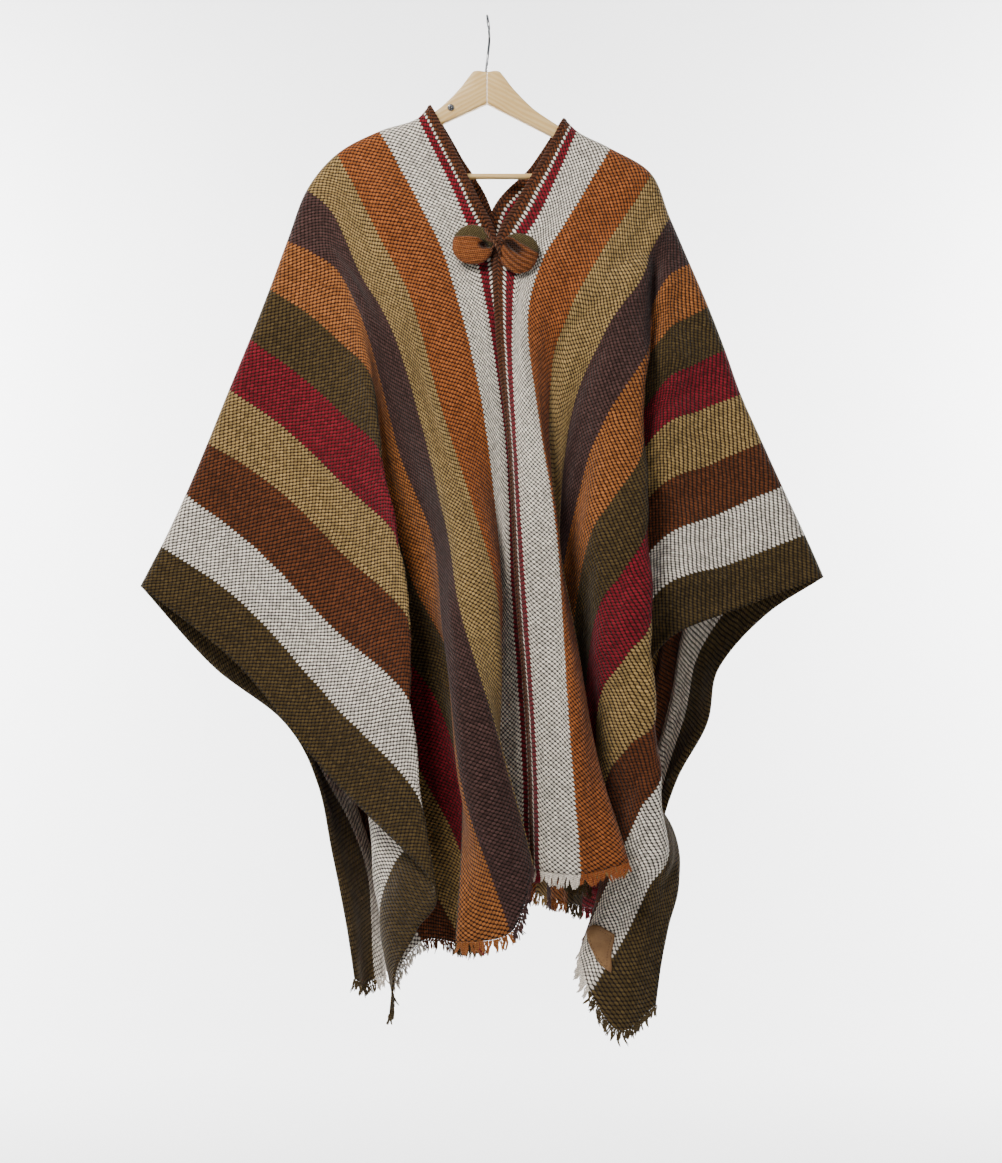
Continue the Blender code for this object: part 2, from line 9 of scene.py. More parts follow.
import bmesh
import bpy
import numpy as np
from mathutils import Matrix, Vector


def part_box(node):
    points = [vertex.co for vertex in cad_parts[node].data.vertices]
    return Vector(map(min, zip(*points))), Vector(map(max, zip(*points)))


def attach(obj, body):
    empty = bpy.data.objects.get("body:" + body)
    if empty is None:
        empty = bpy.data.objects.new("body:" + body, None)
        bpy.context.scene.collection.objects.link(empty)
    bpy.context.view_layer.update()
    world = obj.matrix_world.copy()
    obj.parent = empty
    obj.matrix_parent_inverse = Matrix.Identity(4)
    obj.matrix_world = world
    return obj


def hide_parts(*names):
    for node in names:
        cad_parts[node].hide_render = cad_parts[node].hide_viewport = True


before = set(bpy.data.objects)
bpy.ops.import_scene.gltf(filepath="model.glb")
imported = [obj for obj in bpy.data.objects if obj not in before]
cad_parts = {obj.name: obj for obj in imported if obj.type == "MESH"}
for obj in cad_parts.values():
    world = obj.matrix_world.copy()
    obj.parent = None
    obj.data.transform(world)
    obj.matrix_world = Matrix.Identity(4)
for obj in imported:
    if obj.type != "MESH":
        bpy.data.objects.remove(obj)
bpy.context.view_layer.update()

UNIT = 0.00133  # one unit of the drafting sheet
SHEET_X, SHEET_Z = 487.0, 17.0  # where the hook's inner top lies on the sheet
DRAFT_FROM = 3.0  # the elevation is drafted from this far in front, so what stands forward is drawn larger
DRAFT_X, DRAFT_Z = 501.0, 581.0  # the sheet's own centre
WALL = 0.0026  # woven cloth
SEAM = 0.0002  # each side of the centre back seam
SHOULDER_R = 0.011  # the cloth's bend over the hanger's arm and down the outline
SEAM_X = 491.0
FRONT_FULL, BACK_FULL = 0.18, 0.5  # how much deeper than drafted the folds stand, from the chest down
FIRST_U = 7.0  # the woven cloth starts inside the binding
BINDING_W, BINDING_T = 0.0074, 0.0046
FRINGE, FRINGE_T = 0.017, 0.0013
GAP = 0.00035

# (u from the centre edge, then the stations of the front)
WARP_U = [7.0, 22.0, 64.0, 113.5, 164.5, 215.5, 266.5, 317.5, 368.5, 419.5, 470.5, 521.5, 546.5, 571.5]

# front folds of the left length:
#  T0 outline      T1 wing           T2 wing           T3 wing crest     T4 behind wing    T5 valley         T6 ridge side     T7 ridge          T8 hem
LEFT_FRONT = [
    [(428, 108, 0.0), (447, 144, 0.5), (472, 194, 1.0), (494, 243, 1.5), (502, 330, 2.3), (514, 455, 1.8), (519, 590, 2.4), (529, 735, 3.4), (533, 867, 4.0)],
    [(420, 117, 0.0), (435, 149, 0.5), (456, 192, 1.1), (476, 247, 1.6), (492, 332, 2.6), (507, 455, 2.7), (512, 590, 3.2), (522, 735, 3.9), (526, 867, 4.4)],
    [(381, 131, 0.0), (402, 168, 0.8), (424, 210, 1.4), (447, 260, 1.9), (475, 365, 2.8), (491, 470, 2.9), (499, 590, 2.4), (494, 735, 3.2), (501, 867, 3.5)],
    [(339, 153, 0.0), (356, 186, 0.8), (385, 243, 1.5), (414, 303, 2.4), (443, 408, 3.4), (474, 505, 5.4), (500, 604, 7.4), (496, 738, 6.9), (500, 866, 6.5)],
    [(308, 189, 0.0), (334, 214, 0.6), (360, 272, 1.4), (393, 331, 2.6), (424, 430, 3.2), (447, 530, 5.4), (461, 612, 8.6), (499, 737, 10.6), (530, 858, 9.9)],
    [(289, 238, 0.0), (314, 250, 0.5), (341, 272, 1.3), (370, 337, 3.0), (400, 450, 1.8), (435, 540, 2.9), (447, 640, 7.4), (462, 775, 10.6), (513, 930, 11.4)],
    [(271, 287, 0.0), (308, 311, 0.6), (341, 340, 1.8), (371, 376, 4.0), (383, 470, 1.4), (412, 575, 1.2), (450, 660, 3.0), (464, 790, 7.0), (459, 942, 10.4)],
    [(251, 338, 0.0), (300, 374, 0.8), (343, 412, 2.4), (381, 454, 5.0), (374, 530, 1.6), (396, 635, 0.8), (440, 705, 1.6), (469, 810, 2.4), (478, 941, 4.6)],
    [(230, 389, 0.0), (285, 428, 1.0), (345, 485, 2.8), (399, 544, 6.0), (370, 612, 2.2), (386, 700, 0.8), (424, 777, 1.0), (460, 850, 1.0), (482, 943, 1.5)],
    [(209, 441, 0.0), (275, 484, 1.2), (345, 552, 3.2), (410, 623, 6.8), (368, 690, 2.6), (374, 775, 0.8), (410, 850, 0.8), (438, 895, 0.9), (464, 944, 1.0)],
    [(187, 493, 0.0), (260, 550, 1.4), (335, 627, 3.6), (410, 702, 7.6), (372, 770, 3.0), (369, 830, 1.2), (385, 875, 0.8), (403, 907, 0.8), (423, 940, 0.8)],
    [(163, 544, 0.0), (240, 597, 1.4), (330, 694, 3.8), (421, 799, 8.2), (392, 860, 4.0), (381, 897, 2.2), (382, 927, 1.6), (387, 953, 1.4), (394, 980, 1.4)],
    [(152, 565, 0.0), (240, 632, 1.4), (329, 736, 4.0), (427, 842, 8.5), (403, 897, 5.0), (391, 926, 3.4), (387, 950, 2.6), (388, 974, 2.4), (391, 998, 2.2)],
    [(141, 586, 0.0), (240, 667, 1.4), (328, 775, 4.2), (432, 882, 8.8), (416, 930, 6.0), (402, 954, 4.6), (394, 972, 3.6), (391, 993, 3.2), (389, 1013, 3.0)],
]

# back of the left length:
#  B0 outline       B1                B2                B3                B4                B5                B6 hem
LEFT_BACK = [
    [(428, 108, 0.0), (456, 156, 0.4), (491, 226, 1.0), (491, 360, 2.2), (491, 540, 3.6), (491, 720, 4.6), (491, 886, 5.2)],
    [(420, 117, 0.0), (443, 163, 0.4), (476, 232, 1.0), (472, 362, 2.2), (473, 541, 3.7), (473, 721, 4.8), (473, 888, 5.4)],
    [(381, 131, 0.0), (405, 180, 0.6), (434, 246, 1.4), (443, 370, 3.2), (452, 545, 6.0), (456, 723, 8.2), (458, 892, 9.0)],
    [(339, 153, 0.0), (365, 205, 0.7), (393, 268, 1.7), (418, 385, 4.2), (433, 550, 7.6), (438, 727, 10.2), (440, 899, 11.2)],
    [(308, 189, 0.0), (335, 240, 0.7), (366, 303, 1.7), (402, 420, 4.2), (417, 570, 6.8), (421, 735, 8.2), (422, 910, 8.8)],
    [(289, 238, 0.0), (318, 290, 0.7), (350, 355, 1.8), (389, 470, 3.2), (412, 610, 3.8), (424, 760, 4.0), (430, 912, 4.2)],
    [(271, 287, 0.0), (303, 338, 0.8), (338, 404, 2.0), (374, 515, 2.6), (402, 640, 1.8), (414, 780, 1.6), (420, 915, 1.8)],
    [(251, 338, 0.0), (287, 390, 0.9), (325, 456, 2.6), (355, 560, 3.8), (382, 675, 3.0), (398, 800, 2.6), (405, 920, 2.8)],
    [(230, 389, 0.0), (270, 440, 1.0), (310, 510, 3.0), (337, 610, 5.6), (362, 715, 6.6), (393, 825, 7.0), (404, 925, 7.2)],
    [(209, 441, 0.0), (252, 498, 1.0), (296, 565, 3.2), (324, 665, 6.4), (352, 755, 8.8), (386, 850, 10.0), (396, 936, 10.6)],
    [(187, 493, 0.0), (234, 555, 1.0), (284, 622, 3.0), (317, 712, 5.6), (352, 790, 7.6), (377, 866, 8.8), (386, 956, 9.0)],
    [(163, 544, 0.0), (224, 618, 0.9), (287, 688, 2.4), (322, 768, 4.6), (350, 822, 6.0), (370, 882, 6.8), (377, 978, 6.8)],
    [(152, 565, 0.0), (218, 643, 0.8), (286, 705, 2.0), (319, 776, 3.8), (341, 837, 5.0), (357, 900, 5.6), (365, 984, 6.0)],
    [(141, 586, 0.0), (213, 666, 0.8), (284, 721, 1.6), (315, 784, 3.0), (331, 852, 4.2), (343, 915, 4.8), (352, 978, 5.2)],
]

# front folds of the right length:
#  T0 outline       T1 wing           T2 wing border    T3 deep fold      T4 ridge edge     T5 ridge          T6 ridge          T7                T8 hem
RIGHT_FRONT = [
    [(566, 121, 0.0), (547, 157, 0.6), (522, 200, 1.2), (499, 246, 2.2), (500, 330, 3.4), (511, 455, 3.6), (518, 590, 4.8), (529, 735, 6.0), (533, 868, 6.8)],
    [(575, 130, 0.0), (560, 165, 0.6), (540, 208, 1.3), (517, 254, 2.4), (511, 335, 3.6), (517, 458, 4.8), (525, 592, 6.0), (535, 737, 7.2), (539, 870, 8.0)],
    [(609, 148, 0.0), (586, 187, 0.9), (563, 224, 1.7), (540, 264, 2.8), (527, 325, 3.8), (540, 428, 5.6), (557, 545, 7.8), (568, 710, 10.4), (580, 874, 11.6)],
    [(650, 173, 0.0), (633, 201, 0.7), (612, 232, 1.6), (590, 268, 2.6), (568, 310, 3.2), (550, 372, 2.8), (551, 500, 3.4), (587, 700, 8.0), (627, 862, 10.8)],
    [(669, 217, 0.0), (663, 227, 0.3), (656, 239, 0.6), (648, 254, 0.9), (640, 279, 2.6), (603, 334, 3.8), (567, 436, 2.4), (556, 640, 4.2), (590, 867, 8.0)],
    [(688, 261, 0.0), (678, 266, 0.4), (666, 276, 1.0), (650, 310, 0.6), (642, 354, 3.6), (606, 412, 4.6), (580, 480, 3.0), (551, 655, 2.2), (559, 873, 5.0)],
    [(707, 305, 0.0), (688, 315, 0.6), (666, 330, 1.5), (641, 378, 0.6), (643, 447, 4.6), (612, 497, 5.4), (587, 548, 4.0), (566, 700, 0.8), (562, 879, 1.0)],
    [(724, 349, 0.0), (695, 363, 0.7), (663, 382, 1.8), (631, 443, 1.0), (648, 522, 5.6), (622, 570, 6.4), (595, 617, 4.8), (586, 748, 1.4), (590, 886, 0.8)],
    [(740, 394, 0.0), (702, 409, 0.7), (660, 429, 1.9), (621, 504, 1.4), (651, 612, 6.2), (625, 657, 7.0), (598, 702, 4.6), (599, 800, 2.2), (607, 893, 1.6)],
    [(761, 441, 0.0), (710, 462, 0.8), (656, 488, 2.0), (612, 572, 1.5), (654, 706, 6.8), (630, 742, 6.8), (607, 777, 4.8), (603, 842, 3.4), (600, 909, 3.0)],
    [(781, 485, 0.0), (720, 512, 0.8), (655, 544, 2.2), (609, 642, 0.8), (658, 762, 6.6), (640, 808, 6.8), (621, 852, 5.8), (601, 900, 5.0), (584, 944, 4.6)],
    [(803, 532, 0.0), (732, 560, 0.8), (657, 590, 2.6), (616, 704, 0.3), (667, 838, 6.0), (646, 888, 7.2), (622, 937, 7.2), (604, 963, 6.8), (588, 986, 6.4)],
    [(813, 554, 0.0), (739, 583, 0.8), (658, 618, 2.6), (620, 724, 0.2), (671, 836, 4.8), (663, 888, 6.6), (646, 940, 7.6), (632, 987, 7.8), (619, 1030, 7.8)],
    [(823, 577, 0.0), (745, 606, 0.8), (660, 647, 2.6), (626, 744, 0.2), (670, 828, 3.2), (677, 882, 5.0), (668, 925, 6.2), (661, 965, 6.8), (656, 1004, 7.0)],
]

# back of the right length
RIGHT_BACK = [
    [(566, 121, 0.0), (535, 168, 0.4), (491, 226, 1.0), (491, 360, 2.2), (491, 540, 3.6), (491, 720, 4.6), (491, 886, 5.2)],
    [(575, 130, 0.0), (549, 172, 0.4), (507, 232, 1.0), (511, 362, 2.2), (510, 541, 3.7), (509, 721, 4.8), (509, 887, 5.4)],
    [(609, 148, 0.0), (580, 190, 0.6), (549, 248, 1.4), (534, 370, 3.2), (525, 545, 6.0), (521, 723, 8.2), (520, 889, 9.0)],
    [(650, 173, 0.0), (616, 215, 0.7), (582, 273, 1.7), (556, 385, 4.2), (543, 550, 7.6), (538, 727, 10.2), (536, 892, 11.2)],
    [(669, 217, 0.0), (634, 255, 0.7), (600, 310, 1.7), (572, 420, 4.2), (559, 570, 6.8), (553, 735, 8.2), (549, 895, 8.8)],
    [(688, 261, 0.0), (650, 300, 0.7), (613, 358, 1.8), (585, 470, 3.2), (568, 610, 3.8), (560, 760, 4.0), (554, 898, 4.2)],
    [(707, 305, 0.0), (665, 345, 0.8), (628, 405, 2.0), (603, 515, 2.6), (585, 640, 1.8), (575, 780, 1.6), (568, 902, 1.8)],
    [(724, 349, 0.0), (678, 395, 0.9), (642, 458, 2.6), (622, 560, 3.8), (603, 675, 3.0), (591, 800, 2.6), (584, 906, 2.8)],
    [(740, 394, 0.0), (692, 445, 1.0), (657, 512, 3.0), (640, 612, 5.6), (622, 715, 6.6), (608, 825, 7.0), (600, 911, 7.2)],
    [(761, 441, 0.0), (710, 500, 1.0), (672, 570, 3.2), (654, 665, 6.4), (636, 755, 8.8), (624, 840, 9.8), (615, 922, 10.2)],
    [(781, 485, 0.0), (725, 548, 1.0), (684, 622, 3.2), (667, 703, 6.0), (648, 783, 7.8), (636, 855, 8.4), (627, 928, 8.4)],
    [(803, 532, 0.0), (745, 583, 0.9), (700, 648, 2.6), (684, 714, 4.8), (660, 788, 6.2), (648, 858, 6.2), (638, 936, 6.2)],
    [(813, 554, 0.0), (755, 600, 0.8), (710, 658, 2.2), (696, 718, 4.0), (669, 784, 5.2), (653, 855, 5.2), (643, 938, 5.2)],
    [(823, 577, 0.0), (765, 615, 0.8), (719, 668, 1.8), (707, 722, 3.2), (678, 778, 4.2), (658, 852, 4.4), (648, 940, 4.4)],
]

# wooden arms: across, top edge, bottom edge on the sheet, half thickness in mm
ARM_LEFT = [
    (486.85, 72, 104, 7.0), (473, 72, 110.3, 7.0), (468, 78, 112.6, 6.8), (462, 86, 115.3, 6.4), (452, 97, 119.9, 6.2),
    (440, 108, 125.4, 6.0), (425, 118.5, 132.2, 5.8), (400, 128, 143.6, 5.6), (372, 143, 156.4, 5.4), (352, 153.6, 166, 5.2),
    (349, 155, 182.5, 5.2), (338, 161, 185, 5.0), (334, 165, 182, 4.0),
]
ARM_RIGHT = [
    (487.15, 72, 104, 7.0), (500, 72, 110.6, 7.0), (505, 78, 113.1, 6.8), (511, 86, 116.2, 6.4), (521, 97, 121.3, 6.2),
    (533, 108.5, 127.4, 6.0), (548, 119, 135, 5.8), (566, 130, 144.2, 5.7), (575, 133, 148.7, 5.6), (600, 148, 161.4, 5.4), (618, 157.8, 170.5, 5.2),
    (621, 159.5, 184, 5.2), (630, 165, 186, 5.0), (634, 169, 184, 4.0),
]
BAR_Z, BAR_R = 176.0, 0.0038
WIRE_R = 0.00165
HOOK_R = 0.019


def hermite(knots, values, at):
    """A smooth curve through values at uneven knots, read at the places in at."""
    knots, values, at = np.asarray(knots, float), np.asarray(values, float), np.asarray(at, float)
    slopes = np.empty_like(values)
    steps = np.diff(values, axis=0) / np.diff(knots).reshape((-1,) + (1,) * (values.ndim - 1))
    slopes[0], slopes[-1] = steps[0], steps[-1]
    before, after = np.diff(knots)[:-1], np.diff(knots)[1:]
    shape = (-1,) + (1,) * (values.ndim - 1)
    share = (before / (before + after)).reshape(shape)
    slopes[1:-1] = steps[:-1] * (1 - share) + steps[1:] * share
    i = np.clip(np.searchsorted(knots, at, side="right") - 1, 0, len(knots) - 2)
    width = (knots[i + 1] - knots[i]).reshape(shape)
    f = ((at - knots[i]) / (knots[i + 1] - knots[i])).reshape(shape)
    return (
        values[i] * (2 * f**3 - 3 * f**2 + 1) + slopes[i] * width * (f**3 - 2 * f**2 + f)
        + values[i + 1] * (3 * f**2 - 2 * f**3) + slopes[i + 1] * width * (f**3 - f**2)
    )


def true_place(across, down, forward):
    """Metres from the sheet's units and a depth in metres, forward being towards -Y."""
    draw = (DRAFT_FROM - forward) / DRAFT_FROM
    x = (DRAFT_X - SHEET_X) + (across - DRAFT_X) * draw
    z = (DRAFT_Z - SHEET_Z) + (down - DRAFT_Z) * draw
    return np.stack([x * UNIT, -forward, -z * UNIT], axis=-1)


def half_cloth(table, side, us, ts):
    """Points of one half, front (side 1) or back (side -1), as an array of warp by station by 3."""
    table = np.array(table, float)
    along = hermite(np.arange(table.shape[1]), table.transpose(1, 0, 2), ts)
    cells = hermite(WARP_U, along.transpose(1, 0, 2), us)
    top = hermite(WARP_U, table[:, 0], us)
    fall = np.hypot(cells[..., 0] - top[:, None, 0], cells[..., 1] - top[:, None, 1]) * UNIT
    bend = SHOULDER_R * np.sqrt(1 - (1 - np.minimum(fall / SHOULDER_R, 1)) ** 2)
    fullness = 1 + (FRONT_FULL if side > 0 else BACK_FULL) * np.minimum(np.asarray(ts, float) / 4, 1)
    return true_place(cells[..., 0], cells[..., 1], side * (bend + np.maximum(cells[..., 2], 0) * 0.01 * fullness))


def whole_cloth(front, back, us, front_ts, back_ts, seam_side):
    """The length of cloth from the back hem over the shoulder to the front hem."""
    ahead = half_cloth(front, 1, us, front_ts)
    behind = half_cloth(back, -1, us, back_ts)
    seam = (SEAM_X - SHEET_X) * UNIT
    if seam_side < 0:
        behind[..., 0] = np.minimum(behind[..., 0], seam - SEAM)
    else:
        behind[..., 0] = np.maximum(behind[..., 0], seam + SEAM)
    return np.concatenate([behind[:, ::-1], ahead[:, 1:]], axis=1)


def stations(last, count):
    """Places down a half, close together where the cloth bends over the shoulder."""
    return np.concatenate([[0, 0.018, 0.055, 0.12, 0.22], np.linspace(0.42, last, count)])


FRONT_TS, BACK_TS = stations(8, 22), stations(6, 15)


def fine_stations(last, count):
    """Places down a half at the visible step, closest where the cloth bends over the shoulder."""
    return np.concatenate([[0, 0.006, 0.018, 0.036, 0.06, 0.09, 0.13, 0.18, 0.24, 0.31], np.linspace(0.39, last, count)])


FRONT_FINE, BACK_FINE = fine_stations(8, 172), fine_stations(6, 118)
CLOTH_US = np.concatenate([[7.0, 9.5, 12.0, 15.0, 18.5], np.linspace(22.0, 571.5, 122)])
THICK = 0.0023

# soft creases: from (u, t) to (u, t) down a half, half width mm, height mm (outwards is positive)
CREASES_LEFT_FRONT = [
    (60, 0.5, 150, 2.6, 22, 2.0), (140, 0.4, 240, 2.4, 17, -2.2), (250, 0.3, 330, 2.2, 24, 2.4), (330, 0.3, 440, 2.6, 19, -2.6),
    (430, 0.2, 500, 2.3, 26, 2.8), (520, 0.3, 545, 2.5, 16, -1.8), (90, 3.6, 70, 6.6, 18, 1.8), (38, 2.6, 44, 6.2, 12, -1.5),
    (180, 5.2, 210, 7.6, 15, 1.6), (300, 5.4, 345, 7.4, 18, -2.0), (470, 4.6, 420, 7.2, 20, 2.0), (200, 3.2, 160, 5.4, 14, -1.6),
]
CREASES_LEFT_BACK = [
    (70, 0.8, 90, 3.4, 24, 2.2), (160, 0.6, 215, 3.0, 18, -2.4), (260, 0.5, 330, 2.8, 26, 2.8), (380, 0.4, 450, 2.6, 19, -2.4),
    (480, 0.5, 520, 2.8, 24, 2.4), (110, 3.4, 120, 5.8, 20, -2.0), (240, 3.2, 235, 5.6, 16, 1.8), (340, 3.4, 370, 5.7, 21, -2.2),
]
CREASES_RIGHT_FRONT = [
    (50, 0.5, 120, 2.4, 20, -1.8), (120, 0.4, 210, 2.0, 22, 2.2), (230, 0.3, 300, 2.0, 18, -2.2), (310, 0.4, 380, 2.2, 25, 2.4),
    (400, 0.3, 470, 2.0, 17, -2.2), (490, 0.3, 530, 2.4, 23, 2.6), (45, 3.4, 52, 6.8, 13, 1.6), (90, 4.6, 84, 7.6, 12, -1.5),
    (170, 4.2, 140, 7.0, 17, 2.0), (350, 4.6, 330, 7.0, 18, -1.8), (470, 5.0, 440, 7.2, 20, 2.0), (560, 4.4, 540, 7.0, 15, -1.4),
    (260, 5.4, 250, 7.8, 14, 1.8),
]
CREASES_RIGHT_BACK = [
    (80, 0.8, 105, 3.2, 22, -2.2), (170, 0.6, 230, 3.2, 25, 2.6), (290, 0.5, 350, 2.6, 18, -2.4), (400, 0.4, 470, 2.8, 26, 2.6),
    (500, 0.6, 540, 3.0, 17, -2.0), (130, 3.2, 115, 5.6, 18, 2.2), (250, 3.4, 262, 5.8, 20, -2.0), (390, 3.2, 380, 5.6, 22, 2.2),
]
# the slow waves of hung cloth: wavelength mm across, wavelength mm along, phase, height mm
WAVES_LEFT = [(118, 900, 0.4, 0.9), (74, 430, 2.1, 0.65), (51, 620, 4.4, 0.42), (190, 240, 1.2, 0.8), (37, 300, 3.3, 0.24), (95, -350, 5.1, 0.5)]
WAVES_RIGHT = [(104, 760, 1.7, 0.95), (67, -520, 0.3, 0.65), (46, 480, 2.8, 0.42), (170, 270, 4.9, 0.8), (34, 260, 5.7, 0.24), (88, 330, 3.9, 0.55)]
# the hidden side hangs in more, longer folds: width, length, phase, rise
WAVES_BEHIND = [(76, 2600, 0.9, 2.7), (57, -3100, 2.2, 1.7)]


def step_up(x, low, high):
    f = np.clip((x - low) / (high - low), 0, 1)
    return f * f * (3 - 2 * f)


def arc_length(cloth, shoulder):
    """Metres along each warp line from the shoulder, the front positive."""
    run = np.concatenate([np.zeros((len(cloth), 1)), np.cumsum(np.linalg.norm(np.diff(cloth, axis=1), axis=2), axis=1)], axis=1)
    return run - run[:, shoulder : shoulder + 1]


def normals(cloth):
    n = np.cross(np.gradient(cloth, axis=1), np.gradient(cloth, axis=0))
    return unit(n)


def unit(v):
    return v / np.maximum(np.linalg.norm(v, axis=-1, keepdims=True), 1e-12)


def relief(us, ts, along, creases, waves, sign):
    """Height in metres of the creases and waves over one half."""
    across = np.asarray(us)[:, None] * UNIT + np.zeros_like(along)
    height = np.zeros_like(along)
    for u0, t0, u1, t1, width, rise in creases:
        ends = []
        for u, t in ((u0, t0), (u1, t1)):
            i, j = int(np.argmin(abs(us - u))), int(np.argmin(abs(ts - t)))
            ends.append((across[i, j], along[i, j]))
        (ax, ay), (bx, by) = ends
        length2 = (bx - ax) ** 2 + (by - ay) ** 2
        f = np.clip(((across - ax) * (bx - ax) + (along - ay) * (by - ay)) / length2, 0, 1)
        away = np.hypot(across - ax - f * (bx - ax), along - ay - f * (by - ay))
        height += rise / 1000 * np.exp(-((away / (width / 1000)) ** 2)) * (0.35 + 0.65 * np.sin(math.pi * np.clip(f, 0.05, 0.95)))
    for wide, tall, phase, rise in waves:
        height += 1.5 * rise / 1000 * np.sin(2 * math.pi * (across / (wide / 1000) + along / (tall / 1000)) + phase)
    ease = step_up(np.asarray(us, float), 22, 70)[:, None] * step_up(np.asarray(ts, float), 0.25, 1.6)[None, :]
    return height * ease * sign


def skewed(us, along):
    """Metres along the warp, level with the weft, which lies aslant where the cloth hangs on the cross."""
    return along + SKEW * np.maximum(np.asarray(us)[:, None] - 130, 0) * UNIT


SKEW = 0.42


def cloth_piece(name, front, back, seam_side, front_creases, back_creases, waves):
    cloth = whole_cloth(front, back, CLOTH_US, FRONT_FINE, BACK_FINE, seam_side)
    shoulder = len(BACK_FINE) - 1
    along = arc_length(cloth, shoulder)
    out = normals(cloth)
    out *= np.where(out[:, -60:-59, 1:2].mean() < 0, 1, -1)
    rise = np.concatenate([
        relief(CLOTH_US, BACK_FINE[::-1], along[:, : shoulder + 1], back_creases, waves + WAVES_BEHIND, 1)[:, :-1],
        relief(CLOTH_US, FRONT_FINE, along[:, shoulder:], front_creases, waves, 1),
    ], axis=1)
    cloth = cloth + out * rise[..., None]
    weave_u = -seam_side * -1 * np.asarray(CLOTH_US)[:, None] * UNIT + np.zeros_like(along)
    weave = np.stack([weave_u, skewed(CLOTH_US, along)], axis=-1)
    return cloth, weave, along


def grid_mesh(name, points, uv, flip):
    rows, columns = points.shape[:2]
    index = np.arange(rows * columns).reshape(rows, columns)
    quads = np.stack([index[:-1, :-1], index[1:, :-1], index[1:, 1:], index[:-1, 1:]], axis=-1).reshape(-1, 4)
    if flip:
        quads = quads[:, ::-1]
    mesh = bpy.data.meshes.new(name)
    mesh.from_pydata(points.reshape(-1, 3).tolist(), [], quads.tolist())
    layer = mesh.uv_layers.new(name="weave")
    layer.data.foreach_set("uv", uv.reshape(-1, 2)[quads.reshape(-1)].astype(np.float32).ravel())
    mesh.shade_smooth()
    obj = bpy.data.objects.new(name, mesh)
    bpy.context.scene.collection.objects.link(obj)
    return obj


def part(obj, finish, slot, *nodes):
    """Gives a piece its finish and its place in the frame."""
    obj.data.materials.append(finish)
    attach(obj, "root")
    if nodes:
        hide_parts(*nodes)
    return obj


def mesh_of(name, vertices, faces, uv=None, smooth=True):
    mesh = bpy.data.meshes.new(name)
    mesh.from_pydata([tuple(map(float, v)) for v in vertices], [], [tuple(map(int, f)) for f in faces])
    if uv is not None:
        layer = mesh.uv_layers.new(name="weave")
        corner = np.zeros(len(mesh.loops), np.int32)
        mesh.loops.foreach_get("vertex_index", corner)
        layer.data.foreach_set("uv", np.asarray(uv, np.float32)[corner].ravel())
    if smooth:
        mesh.shade_smooth()
    obj = bpy.data.objects.new(name, mesh)
    bpy.context.scene.collection.objects.link(obj)
    return obj


# ---------------------------------------------------------------- finishes


def srgb(r, g, b):
    return tuple(((c / 255) / 12.92 if c <= 10 else ((c / 255 + 0.055) / 1.055) ** 2.4) for c in (r, g, b)) + (1.0,)


